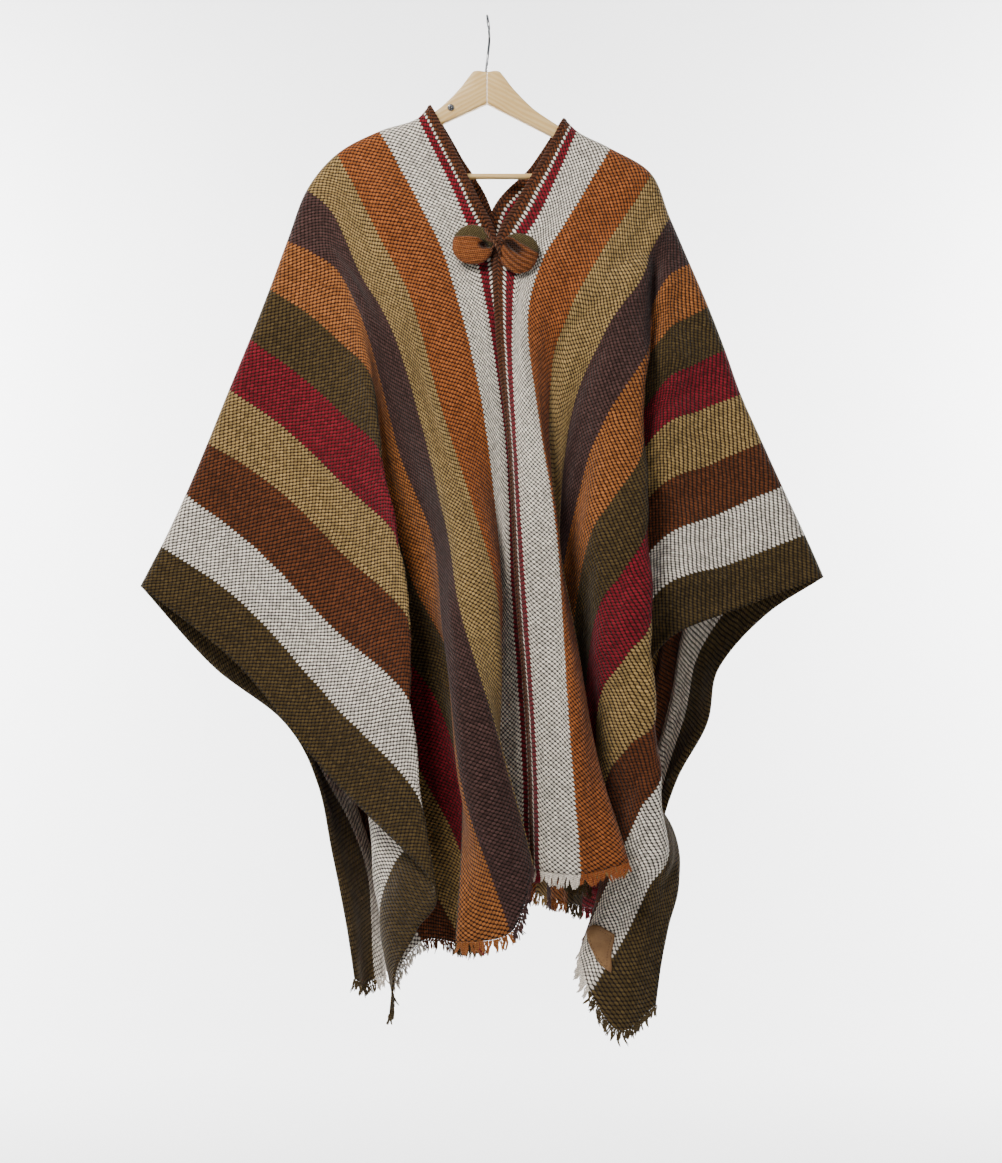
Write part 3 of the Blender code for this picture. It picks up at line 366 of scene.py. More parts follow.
class Finish:
    """A node material, written as short calls."""

    def __init__(self, name, roughness, metallic=0.0, specular=0.5, sheen=0.0, sheen_roughness=0.5, coat=0.0):
        self.material = bpy.data.materials.new(name)
        self.material.use_nodes = True
        self.tree = self.material.node_tree
        self.surface = self.tree.nodes["Principled BSDF"]
        for socket, value in (("Roughness", roughness), ("Metallic", metallic), ("Specular IOR Level", specular),
                              ("Sheen Weight", sheen), ("Sheen Roughness", sheen_roughness), ("Coat Weight", coat)):
            self.surface.inputs[socket].default_value = value

    def node(self, kind, inputs=None, **settings):
        made = self.tree.nodes.new(kind)
        for key, value in settings.items():
            setattr(made, key, value)
        for key, value in (inputs or {}).items():
            self.put(made.inputs[key], value)
        return made

    def put(self, socket, value):
        if isinstance(value, bpy.types.NodeSocket):
            self.tree.links.new(value, socket)
        else:
            socket.default_value = value

    def math(self, operation, *values):
        made = self.tree.nodes.new("ShaderNodeMath")
        made.operation = operation
        for k, value in enumerate(values):
            self.put(made.inputs[k], value)
        return made.outputs[0]

    def span(self, value, low, high, to_low=0.0, to_high=1.0, smooth=False):
        made = self.tree.nodes.new("ShaderNodeMapRange")
        made.interpolation_type = "SMOOTHSTEP" if smooth else "LINEAR"
        for k, v in enumerate((value, low, high, to_low, to_high)):
            self.put(made.inputs[k], v)
        return made.outputs[0]

    def mix(self, share, a, b, kind="MIX"):
        made = self.tree.nodes.new("ShaderNodeMix")
        made.data_type, made.blend_type = "RGBA", kind
        self.put(made.inputs[0], share)
        self.put(made.inputs[6], a)
        self.put(made.inputs[7], b)
        return made.outputs[2]

    def ramp(self, value, stops, kind="LINEAR"):
        made = self.tree.nodes.new("ShaderNodeValToRGB")
        ramp = made.color_ramp
        ramp.interpolation = kind
        ramp.elements[0].position, ramp.elements[0].color = stops[0]
        ramp.elements[1].position, ramp.elements[1].color = stops[-1]
        for place, colour in stops[1:-1]:
            ramp.elements.new(place).color = colour
        self.put(made.inputs[0], value)
        return made.outputs[0]

    def xyz(self, x, y, z=0.0):
        made = self.tree.nodes.new("ShaderNodeCombineXYZ")
        for k, value in enumerate((x, y, z)):
            self.put(made.inputs[k], value)
        return made.outputs[0]

    def noise(self, vector, scale, detail=2.0, rough=0.5):
        made = self.node("ShaderNodeTexNoise", {"Vector": vector, "Scale": scale, "Detail": detail, "Roughness": rough})
        return made.outputs[0]

    def uv(self, name="weave"):
        parts = self.node("ShaderNodeSeparateXYZ", {"Vector": self.node("ShaderNodeUVMap", uv_map=name).outputs[0]})
        return parts.outputs[0], parts.outputs[1]

    def place(self):
        where = self.node("ShaderNodeTexCoord").outputs["Object"]
        parts = self.node("ShaderNodeSeparateXYZ", {"Vector": where})
        return where, parts.outputs[0], parts.outputs[1], parts.outputs[2]

    def finish(self, colour, height=None, distance=0.001, strength=1.0, roughness=None):
        self.put(self.surface.inputs["Base Color"], colour)
        if height is not None:
            bump = self.node("ShaderNodeBump", {"Height": height, "Distance": distance, "Strength": strength})
            self.tree.links.new(bump.outputs[0], self.surface.inputs["Normal"])
        if roughness is not None:
            self.put(self.surface.inputs["Roughness"], roughness)
        return self.material


CREAM, RUST, KHAKI, PLUM = srgb(244, 232, 216), srgb(160, 90, 45), srgb(164, 134, 84), srgb(80, 56, 52)
ORANGE, OLIVE, CRIMSON, BROWN = srgb(162, 99, 52), srgb(82, 66, 38), srgb(128, 29, 40), srgb(101, 56, 32)
TAPE, WEFT = srgb(98, 60, 42), srgb(28, 19, 14)
# stripes of one length, from the centre edge outwards: where each starts, in units of the drafting sheet
STRIPES = [(0, BROWN), (9.2, CREAM), (14.6, CRIMSON), (22, CREAM), (64, RUST), (113.5, KHAKI), (164.5, PLUM), (215.5, ORANGE),
           (266.5, OLIVE), (317.5, CRIMSON), (368.5, KHAKI), (419.5, BROWN), (470.5, CREAM), (521.5, OLIVE)]
RAMP_SPAN = 580.0


def stripe_stops():
    return [(u / RAMP_SPAN, colour) for u, colour in STRIPES]


KNOT_A, KNOT_B = 0.0037, 0.0030  # half steps between yarn knots, across and along


def knots(f, w, v, a=KNOT_A, b=KNOT_B):
    """The lattice of yarn knots: their height, and which knot this is."""
    stray = f.noise(f.xyz(w, v), 26.0, 2.0)
    stray_2 = f.noise(f.xyz(v, w, 3.7), 31.0, 2.0)
    w = f.math("ADD", w, f.math("MULTIPLY", f.math("SUBTRACT", stray, 0.5), 0.0034))
    v = f.math("ADD", v, f.math("MULTIPLY", f.math("SUBTRACT", stray_2, 0.5), 0.0040))
    wa, vb = f.math("DIVIDE", w, 2 * a), f.math("DIVIDE", v, 2 * b)
    p, q = f.math("ADD", wa, vb), f.math("SUBTRACT", wa, vb)
    pr, qr = f.math("ROUND", p), f.math("ROUND", q)
    fp, fq = f.math("SUBTRACT", p, pr), f.math("SUBTRACT", q, qr)
    dp, dq = f.math("MULTIPLY", fp, 1.0 / 0.58), f.math("MULTIPLY", fq, 1.0 / 0.50)
    away = f.math("ADD", f.math("MULTIPLY", dp, dp), f.math("MULTIPLY", dq, dq))
    ply = f.math("SINE", f.math("ADD", f.math("MULTIPLY", fp, 2 * math.pi * 2.0), f.math("MULTIPLY", fq, 2 * math.pi * 2.6)))
    dome = f.math("MAXIMUM", f.math("SUBTRACT", 1.0, away), 0.0)
    height = f.math("MULTIPLY", dome, f.math("ADD", 0.93, f.math("MULTIPLY", ply, 0.07)))
    centre = f.math("ABSOLUTE", f.math("MULTIPLY", f.math("ADD", pr, qr), a / UNIT))
    own = f.node("ShaderNodeTexWhiteNoise", {"Vector": f.xyz(pr, qr, 0.5)}, noise_dimensions="2D").outputs[0]
    return height, centre, own, pr, qr


def striped_cloth(name):
    f = Finish(name, 0.95, specular=0.12, sheen=0.12, sheen_roughness=0.45)
    w, v = f.uv()
    height, centre, own, pr, qr = knots(f, w, v)
    colour = f.ramp(f.math("DIVIDE", centre, RAMP_SPAN), stripe_stops(), "CONSTANT")
    # the light warp beside the binding shows as dots
    # one yarn to the next, and the wool's slow change along it
    yarn = f.noise(f.xyz(f.math("MULTIPLY", w, 290.0), f.math("MULTIPLY", v, 9.0)), 1.0, 2.0)
    slow = f.noise(f.xyz(w, v, 1.3), 7.0, 3.0)
    shade = f.math("ADD", f.span(own, 0, 1, 0.78, 1.34), f.math("ADD", f.span(yarn, 0.3, 0.7, -0.13, 0.13), f.span(slow, 0.3, 0.7, -0.07, 0.07)))
    worked = f.mix(1.0, colour, f.xyz(shade, shade, shade), "MULTIPLY")
    core = f.span(height, 0.10, 0.66, 0.0, 1.0, True)
    gap = f.mix(0.94, colour, WEFT)
    seen = f.mix(core, gap, worked)
    fibre = f.noise(f.xyz(f.math("MULTIPLY", w, 1500.0), f.math("MULTIPLY", v, 900.0)), 1.0, 2.0)
    lift = f.math("ADD", f.math("POWER", height, 0.6), f.math("MULTIPLY", fibre, 0.12))
    return f.finish(seen, lift, 0.0015, 0.95)


def fringe_yarn(name):
    f = Finish(name, 0.95, specular=0.1, sheen=0.15)
    w, v = f.uv()
    colour = f.ramp(f.math("DIVIDE", f.math("ABSOLUTE", f.math("DIVIDE", w, UNIT)), RAMP_SPAN), stripe_stops(), "CONSTANT")
    ply = f.math("SINE", f.math("MULTIPLY", f.math("ADD", v, f.math("MULTIPLY", w, 0.6)), 2 * math.pi / 0.0026))
    rough = f.noise(f.xyz(f.math("MULTIPLY", w, 900.0), f.math("MULTIPLY", v, 160.0)), 1.0, 3.0)
    shade = f.math("ADD", f.span(ply, -1, 1, 0.68, 1.12), f.span(rough, 0.25, 0.75, -0.22, 0.2))
    seen = f.mix(1.0, colour, f.xyz(shade, shade, shade), "MULTIPLY")
    return f.finish(seen, f.math("ADD", ply, rough), 0.0004, 0.7)


def tape_yarn(name, base, dark):
    f = Finish(name, 0.94, specular=0.12, sheen=0.12)
    s, turn = f.uv()  # s along the tape in metres, turn round it from 0 to 1
    side = f.math("ABSOLUTE", f.math("SUBTRACT", turn, 0.5))
    wave = f.math("SINE", f.math("ADD", f.math("MULTIPLY", s, 2 * math.pi / 0.0050), f.math("MULTIPLY", side, 13.0)))
    speck = f.noise(f.xyz(f.math("MULTIPLY", s, 420.0), f.math("MULTIPLY", turn, 9.0)), 1.0, 3.0)
    tint = f.noise(f.xyz(f.math("MULTIPLY", s, 60.0), turn), 1.0, 2.0)
    core = f.math("MULTIPLY", f.span(wave, -0.9, 0.5, 0.0, 1.0, True), f.span(speck, 0.3, 0.62, 0.35, 1.0))
    colour = f.mix(f.span(tint, 0.35, 0.65), base, BROWN)
    seen = f.mix(core, dark, colour)
    return f.finish(seen, f.math("ADD", wave, f.math("MULTIPLY", speck, 0.6)), 0.0006, 0.8)


def clasp_cloth(name):
    f = Finish(name, 0.95, specular=0.12, sheen=0.12)
    w, v = f.uv()
    # the second value of the zone layer is painted shade for the hollow, the rib grooves and the fold line, multiplied
    # into the colour below
    flap, painted_shade = f.uv("zone")
    height, centre, own, pr, qr = knots(f, w, v, 0.0019, 0.0016)
    base = f.mix(f.math("GREATER_THAN", flap, 0.5), srgb(96, 82, 50), srgb(168, 98, 52))
    shade = f.math("MULTIPLY", f.span(own, 0, 1, 0.74, 1.14), painted_shade)
    worked = f.mix(1.0, base, f.xyz(shade, shade, shade), "MULTIPLY")
    core = f.span(height, 0.0, 0.45, 0.0, 1.0, True)
    return f.finish(f.mix(core, f.mix(0.86, base, WEFT), worked), height, 0.0009, 0.9)


def leather_hide(name):
    f = Finish(name, 0.55, specular=0.35)
    where, x, y, z = f.place()
    grain = f.node("ShaderNodeTexVoronoi", {"Vector": where, "Scale": 1150.0}).outputs[0]
    cloud = f.noise(where, 60.0, 4.0)
    fine = f.noise(where, 900.0, 3.0)
    colour = f.mix(f.span(cloud, 0.3, 0.7), srgb(116, 84, 52), srgb(146, 110, 72))
    colour = f.mix(f.span(fine, 0.5, 0.8, 0.0, 0.5), colour, srgb(84, 58, 36))
    return f.finish(colour, f.math("ADD", grain, f.math("MULTIPLY", cloud, 0.8)), 0.0003, 0.6, f.span(cloud, 0.3, 0.7, 0.46, 0.64))


def pale_wood(name, lean):
    f = Finish(name, 0.42, specular=0.4, coat=0.12)
    where, x, y, z = f.place()
    across = f.math("ADD", z, f.math("MULTIPLY", f.math("ABSOLUTE", x), lean))
    wander = f.noise(f.xyz(f.math("MULTIPLY", x, 7.0), f.math("MULTIPLY", y, 20.0), f.math("MULTIPLY", across, 22.0)), 1.0, 3.0)
    rings = f.math("SINE", f.math("ADD", f.math("MULTIPLY", across, 900.0), f.math("MULTIPLY", wander, 22.0)))
    pores = f.noise(f.xyz(f.math("MULTIPLY", x, 160.0), f.math("MULTIPLY", y, 1400.0), f.math("MULTIPLY", across, 1400.0)), 1.0, 2.0)
    flame = f.noise(f.xyz(f.math("MULTIPLY", x, 30.0), f.math("MULTIPLY", y, 60.0), f.math("MULTIPLY", across, 60.0)), 1.0, 4.0)
    colour = f.mix(f.span(rings, -1, 1, 0.0, 1.0, True), srgb(226, 184, 114), srgb(236, 200, 138))
    colour = f.mix(f.span(flame, 0.45, 0.8, 0.0, 0.4), colour, srgb(216, 168, 98))
    colour = f.mix(f.span(pores, 0.6, 0.75, 0.0, 0.45), colour, srgb(178, 134, 84))
    return f.finish(colour, f.math("ADD", rings, f.math("MULTIPLY", pores, 0.8)), 0.00012, 0.5, f.span(pores, 0.4, 0.7, 0.36, 0.52))


def bright_steel(name):
    f = Finish(name, 0.24, metallic=1.0)
    where, x, y, z = f.place()
    rub = f.noise(f.xyz(f.math("MULTIPLY", x, 900.0), f.math("MULTIPLY", y, 900.0), f.math("MULTIPLY", z, 120.0)), 1.0, 3.0)
    colour = f.mix(f.span(rub, 0.3, 0.7), srgb(120, 121, 124), srgb(176, 176, 178))
    return f.finish(colour, rub, 0.00005, 0.4, f.span(rub, 0.3, 0.7, 0.18, 0.34))


cloth_finish = striped_cloth("woven_wool_stripes")
fringe_finish = fringe_yarn("fringe_wool")
tape_finish = tape_yarn("binding_braid", TAPE, srgb(48, 28, 19))
cord_finish = tape_yarn("clasp_cord", srgb(128, 84, 56), srgb(62, 38, 26))
clasp_finish = clasp_cloth("clasp_cloth")
leather_finish = leather_hide("tan_leather")
wood_finish = pale_wood("birch", 0.53)
dowel_finish = pale_wood("birch_dowel", 0.0)
steel_finish = bright_steel("bright_steel")
stitch_finish = tape_yarn("stitch_thread", srgb(96, 62, 40), srgb(50, 30, 20))

# ---------------------------------------------------------------- cloth

left_cloth, left_weave, left_along = cloth_piece("left", LEFT_FRONT, LEFT_BACK, -1, CREASES_LEFT_FRONT, CREASES_LEFT_BACK, WAVES_LEFT)
right_cloth, right_weave, right_along = cloth_piece("right", RIGHT_FRONT, RIGHT_BACK, 1, CREASES_RIGHT_FRONT, CREASES_RIGHT_BACK, WAVES_RIGHT)


def woven(name, points, weave, flip, *nodes):
    obj = grid_mesh(name, points, weave, flip)
    shell = obj.modifiers.new("wall", "SOLIDIFY")
    shell.thickness, shell.offset = THICK, 0
    shell.use_even_offset = False
    return part(obj, cloth_finish, "striped_cloth", *nodes)


left_panel = woven("left_length_cloth", left_cloth, left_weave, False, "left_panel")
right_panel = woven("right_length_cloth", right_cloth, right_weave, True, "right_panel")


# ---------------------------------------------------------------- bindings


def tube(name, rings, uvs):
    """Closed rings joined end to end, capped."""
    rings = np.asarray(rings)
    count, sides = rings.shape[:2]
    index = np.arange(count * sides).reshape(count, sides)
    after = np.roll(index, -1, axis=1)
    faces = np.stack([index[:-1], after[:-1], after[1:], index[1:]], axis=-1).reshape(-1, 4).tolist()
    faces += [index[0][::-1].tolist(), index[-1].tolist()]
    obj = mesh_of(name, rings.reshape(-1, 3), faces, np.asarray(uvs).reshape(-1, 2))
    shape = bmesh.new()
    shape.from_mesh(obj.data)
    bmesh.ops.recalc_face_normals(shape, faces=shape.faces)
    shape.to_mesh(obj.data)
    shape.free()
    return obj


def resample(line, step):
    run = np.concatenate([[0], np.cumsum(np.linalg.norm(np.diff(line[:, :3], axis=0), axis=1))])
    at = np.linspace(0, run[-1], max(2, int(run[-1] / step)))
    return np.stack([np.interp(at, run, line[:, k]) for k in range(line.shape[1])], axis=1), at


def braid(name, cloth, start, stop, node):
    """The folded braid that closes the woven edge."""
    edge, inner = cloth[0, start:stop], cloth[5, start:stop]
    along = unit(np.gradient(edge, axis=0))
    across = unit((inner - edge) - np.sum((inner - edge) * along, axis=1, keepdims=True) * along)
    out = unit(np.cross(along, across))
    line = np.concatenate([edge - across * (BINDING_W / 2 - 0.0012), across, out], axis=1)
    line, at = resample(line, 0.0011)
    middle, across, out = line[:, :3], unit(line[:, 3:6]), unit(line[:, 6:])
    sides = 14
    rings, uvs = [], []
    for m, a, n, s in zip(middle, across, out, at):
        ring = []
        for k in range(sides):
            turn = k / sides
            angle = 2 * math.pi * turn
            plait = 0.10 * math.sin(2 * math.pi * s / 0.0050 + abs(turn - 0.5) * 13)
            wide, thick = BINDING_W / 2 * (0.97 + 0.5 * plait), BINDING_T / 2 * (0.92 + plait)
            ring.append(m + a * math.cos(angle) * wide + n * math.sin(angle) * thick)
            uvs.append((s, turn))
        rings.append(ring)
    return part(tube(name, rings, uvs), tape_finish, "binding", node)


neck_row = len(BACK_FINE) - 1 - int(np.searchsorted(BACK_FINE, 2.02))
binding_left = braid("left_binding_braid", left_cloth, neck_row, left_cloth.shape[1], "binding_left")
binding_right = braid("right_binding_braid", right_cloth, neck_row, right_cloth.shape[1], "binding_right")


# ---------------------------------------------------------------- fringe


def lengths_of_yarn(name, cloth, weave, at_front, node, seed, skip):
    """Twisted tufts of the warp's own ends, a few strands each, hanging from a hem."""
    rng = np.random.default_rng(seed)
    hem, near = (cloth[:, -1], cloth[:, -4]) if at_front else (cloth[:, 0], cloth[:, 3])
    cross = unit(np.cross(np.gradient(hem, axis=0), hem - near))
    line = np.concatenate([hem, unit(hem - near), cross, weave[:, -1 if at_front else 0]], axis=1)
    line, at = resample(line, 0.0041)
    vertices, faces, uvs = [], [], []
    down = np.array([0.0, 0.0, -1.0])
    for k, row in enumerate(line[skip:]):
        root, fall, out, (w, v) = row[:3], unit(row[3:6]), unit(row[6:9]), row[9:]
        side = unit(np.cross(out, fall))
        lean_side, lean_out = rng.normal(0, 0.22), rng.normal(0, 0.20)
        reach = FRINGE * rng.uniform(0.80, 1.16)
        for strand in range(3):
            offset = (strand - 1) * 0.00105
            phase = rng.uniform(0, 2 * math.pi)
            length = reach * rng.uniform(0.80, 1.0)
            spread = (strand - 1) * rng.uniform(-0.06, 0.10)
            radius = rng.uniform(0.00082, 0.00112)
            first = len(vertices)
            steps, sides = 6, 5
            for i in range(steps + 1):
                f = i / steps
                hang = unit(fall * (1 - 0.45 * f) + down * 0.45 * f)
                centre = (root + side * (offset + (lean_side + spread) * length * f * f) + out * (lean_out * length * f * f)
                          + hang * (0.0002 + length * f) + (side * math.cos(phase + f * 7) + out * math.sin(phase + f * 7)) * 0.0009 * math.sin(math.pi * min(1, f * 1.3)))
                thick = radius * (1.0 if f < 0.8 else 1.0 - 0.45 * (f - 0.8) / 0.2)
                for j in range(sides):
                    angle = 2 * math.pi * j / sides
                    vertices.append(centre + (side * math.cos(angle) + out * math.sin(angle)) * thick)
                    uvs.append((w, v + length * f + strand * 0.01))
            for i in range(steps):
                for j in range(sides):
                    a, b = first + i * sides + j, first + i * sides + (j + 1) % sides
                    faces.append((a, b, b + sides, a + sides))
            faces.append(tuple(first + j for j in reversed(range(sides))))
            faces.append(tuple(first + steps * sides + j for j in range(sides)))
    obj = mesh_of(name, vertices, faces, uvs)
    return part(obj, fringe_finish, "fringe", node)


fringe_lf = lengths_of_yarn("fringe_front_left_yarn", left_cloth, left_weave, True, "fringe_front_left", 11, 0)
fringe_rf = lengths_of_yarn("fringe_front_right_yarn", right_cloth, right_weave, True, "fringe_front_right", 12, 0)
fringe_lb = lengths_of_yarn("fringe_back_left_yarn", left_cloth, left_weave, False, "fringe_back_left", 13, 1)
fringe_rb = lengths_of_yarn("fringe_back_right_yarn", right_cloth, right_weave, False, "fringe_back_right", 14, 1)

# ---------------------------------------------------------------- clasp


def turned(points, middle, tilt):
    points = np.asarray(points, float)
    x, y, z = points[..., 0], points[..., 1], points[..., 2]
    c, s = math.cos(tilt), math.sin(tilt)
    return np.stack([middle[0] + x * c - z * s, middle[1] + y, middle[2] + x * s + z * c], axis=-1)


def clasp_lobe(name, node, tilt, half, outward, outline, fold, hollow, ribs):
    """A gathered rosette of cloth. outline is how far it reaches round the compass, as a share of half.
    fold is the line (across, up) above which the plain outer turn shows; hollow is (across, up, wide, tall, deep mm, lean)."""
    low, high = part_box(node)
    middle = ((low[0] + high[0]) / 2, (low[1] + high[1]) / 2, (low[2] + high[2]) / 2)
    rings, spokes = 40, 96
    reach = hermite(np.arange(len(outline) + 1), np.array(outline + outline[:1], float)[:, None], np.linspace(0, len(outline), spokes, endpoint=False))[:, 0]
    vertices, uvs, flaps_and_painted_shade = [], [], []

    def surface(r, k):
        turn = 2 * math.pi * k / spokes
        x, z = outward * math.cos(turn) * r * reach[k], math.sin(turn) * r * reach[k]
        line = float(np.interp(x * outward, [p[0] for p in fold], [p[1] for p in fold]))
        over = float(step_up(np.array(line - z), -0.035, 0.035))
        puff = math.sqrt(max(0.0, 1 - r**3.2))
        deep = half[1] * (0.62 + 0.26 * over) * puff
        hx, hz = (x * outward - hollow[0]), (z - hollow[1])
        lean = hollow[5]
        hx, hz = hx * math.cos(lean) + hz * math.sin(lean), -hx * math.sin(lean) + hz * math.cos(lean)
        dent = math.exp(-((hx / hollow[2]) ** 2 + (hz / hollow[3]) ** 2))
        deep -= hollow[4] / 1000 * dent * puff
        wave = math.sin((z + 0.30 * x * outward * ribs - 0.25 * (x * outward) ** 2) * 27)
        gather = 0.0014 * over * ribs * wave * puff
        roll = 0.0012 * math.exp(-(((z - line + 0.07) / 0.07) ** 2)) * puff
        # the third value is painted shade: it darkens the cloth in the hollow, in the rib grooves and along the fold
        # line
        return (x * half[0], -(deep + gather + roll * (0.4 + 0.6 * over)), z * half[2]), over, (1.0 - 0.95 * min(1.0, 2.1 * dent)) * (1 - 0.30 * over * ribs * (1 - wave)) * (0.72 + 0.28 * float(step_up(np.array(abs(line - z)), 0.0, 0.12)))

    for i in range(rings + 1):
        r = i / rings
        for k in range(spokes):
            p, over, shade = surface(r, k)
            vertices.append(p)
            spin = 0.5 if over > 0.5 else -0.35
            uvs.append((p[0] * math.cos(spin) - p[2] * math.sin(spin) - 0.004 * over, p[2] * math.cos(spin) + p[0] * math.sin(spin)))
            flaps_and_painted_shade.append((over, shade))
    top = len(vertices)
    for i in range(9, -1, -1):  # the plain back
        r = i / 10
        for k in range(spokes):
            turn = 2 * math.pi * k / spokes
            x, z = outward * math.cos(turn) * r * reach[k], math.sin(turn) * r * reach[k]
            p = (x * half[0], half[1] * 0.62 * math.sqrt(max(0.0, 1 - r**3)), z * half[2])
            vertices.append(p)
            uvs.append((p[0], p[2]))
            # the plain back gets painted shade, 0.8 of its colour
            flaps_and_painted_shade.append((0.0, 0.8))
    faces = []
    total = rings + 1 + 10
    for i in range(total - 1):
        for k in range(spokes):
            n = (k + 1) % spokes
            faces.append((i * spokes + k, i * spokes + n, (i + 1) * spokes + n, (i + 1) * spokes + k))
    obj = mesh_of(name, turned(vertices, middle, tilt), faces, uvs)
    # this layer carries which flap shows and the painted shade
    layer = obj.data.uv_layers.new(name="zone")
    corner = np.zeros(len(obj.data.loops), np.int32)
    obj.data.loops.foreach_get("vertex_index", corner)
    layer.data.foreach_set("uv", np.array(flaps_and_painted_shade, np.float32)[corner].ravel())
    shape = bmesh.new()
    shape.from_mesh(obj.data)
    bmesh.ops.remove_doubles(shape, verts=shape.verts, dist=1e-6)
    bmesh.ops.recalc_face_normals(shape, faces=shape.faces)
    shape.to_mesh(obj.data)
    shape.free()
    obj.data.shade_smooth()
    return part(obj, clasp_finish, "clasp", node)


clasp_left = clasp_lobe(
    "clasp_left_rosette", "clasp_left", math.radians(-4), (0.0290, 0.0088, 0.0258), -1,
    [0.84, 0.86, 0.94, 1.02, 1.03, 1.02, 1.02, 1.04, 1.04, 1.0, 0.96, 0.90],
    [(-1.0, -0.1), (-0.75, -0.12), (-0.62, 0.12), (-0.35, 0.34), (0.0, 0.40), (0.45, 0.36), (0.8, 0.34), (1.0, 0.2)],
    (-0.58, 0.0, 0.20, 0.17, 8.5, 0.3), 0.35,
)
clasp_right = clasp_lobe(
    "clasp_right_rosette", "clasp_right", math.radians(-22), (0.0262, 0.0088, 0.0272), 1,
    [1.04, 1.06, 1.0, 0.92, 0.90, 0.94, 0.86, 0.90, 0.96, 1.0, 1.06, 1.08],
    [(-1.0, 0.5), (-0.7, 0.52), (-0.4, 0.50), (0.0, 0.42), (0.5, 0.36), (1.0, 0.30)],
    (-0.36, 0.15, 0.52, 0.20, 9.5, -0.22), 1.0,
)


def cord_tube(name, line, radius, finish, slot, step=0.0008, sides=10, flat=1.0):
    line = hermite(np.arange(len(line)), np.array(line, float), np.linspace(0, len(line) - 1, 14 * (len(line) - 1)))
    line, at = resample(line, step)
    along = unit(np.gradient(line, axis=0))
    side = unit(np.cross(along, np.array([0.0, 1.0, 0.0])))
    out = np.cross(side, along)
    rings, uvs = [], []
    for p, s, o, d in zip(line, side, out, at):
        end = min(1.0, 0.35 + d / 0.0015, 0.35 + (at[-1] - d) / 0.0015)
        rings.append([p + (s * math.cos(2 * math.pi * k / sides) + o * flat * math.sin(2 * math.pi * k / sides)) * radius * end
                      * (1 + 0.08 * math.sin(2 * math.pi * d / 0.0031 + 2 * math.pi * k / sides)) for k in range(sides)])
        uvs += [(d, k / sides) for k in range(sides)]
    return tube(name, rings, uvs)


def joined(name, objects):
    """Several meshes made one piece."""
    whole = bmesh.new()
    for o in objects:
        whole.from_mesh(o.data)
    mesh = bpy.data.meshes.new(name)
    whole.to_mesh(mesh)
    whole.free()
    for o in objects:
        old = o.data
        bpy.data.objects.remove(o)
        bpy.data.meshes.remove(old)
    obj = bpy.data.objects.new(name, mesh)
    bpy.context.scene.collection.objects.link(obj)
    return obj


knot_low, knot_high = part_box("clasp_knot")
kx, ky, kz = ((knot_low[i] + knot_high[i]) / 2 for i in range(3))
UP = 0.001
cords = [
    cord_tube("cord_a", [(kx - 0.0135, ky + 0.0065, kz + 0.0190), (kx - 0.0068, ky - 0.0006, kz + 0.0085), (kx + 0.0000, ky - 0.0020, kz - 0.001), (kx + 0.0042, ky - 0.0006, kz - 0.0085), (kx + 0.0070, ky + 0.004, kz - 0.0150)], 0.0021, None, None),
    cord_tube("cord_b", [(kx + 0.0070, ky + 0.004, kz + 0.0090), (kx + 0.0035, ky + 0.0004, kz + 0.0045), (kx + 0.0005, ky + 0.0012, kz - 0.0005), (kx - 0.0030, ky + 0.0010, kz - 0.0060), (kx - 0.0050, ky + 0.0045, kz - 0.0110)], 0.00150, None, None),
    cord_tube("cord_c", [(kx - 0.0125, ky + 0.0045, kz + 0.0065), (kx - 0.006, ky + 0.0012, kz + 0.0025), (kx, ky + 0.0008, kz + 0.0015), (kx + 0.0055, ky + 0.0018, kz + 0.0020), (kx + 0.0095, ky + 0.0045, kz + 0.0035)], 0.00140, None, None),
]
clasp_knot = part(joined("clasp_cord_knot", cords), cord_finish, "clasp", "clasp_knot")

# ---------------------------------------------------------------- leather patch


class Surface:
    """A fine cloth grid read at any (u, t) of its front."""

    def __init__(self, cloth, out_y=-1):
        self.front = cloth[:, len(BACK_FINE) - 1 :]

    def at(self, u, t):
        i = float(np.interp(u, CLOTH_US, np.arange(len(CLOTH_US))))
        j = float(np.interp(t, FRONT_FINE, np.arange(len(FRONT_FINE))))
        a, b = min(int(i), len(CLOTH_US) - 2), min(int(j), len(FRONT_FINE) - 2)
        fu, ft = i - a, j - b
        g = self.front
        p = (g[a, b] * (1 - fu) + g[a + 1, b] * fu) * (1 - ft) + (g[a, b + 1] * (1 - fu) + g[a + 1, b + 1] * fu) * ft
        a0, a1, b0, b1 = max(a - 2, 0), min(a + 3, len(CLOTH_US) - 1), max(b - 3, 0), min(b + 4, len(FRONT_FINE) - 1)
        n = np.cross(g[a1, b] - g[a0, b], g[a, b1] - g[a, b0])
        n = n / np.linalg.norm(n)
        return p, (n if n[1] < 0 else -n)


PATCH = [(473, 7.66), (513, 6.12), (531, 7.0)]


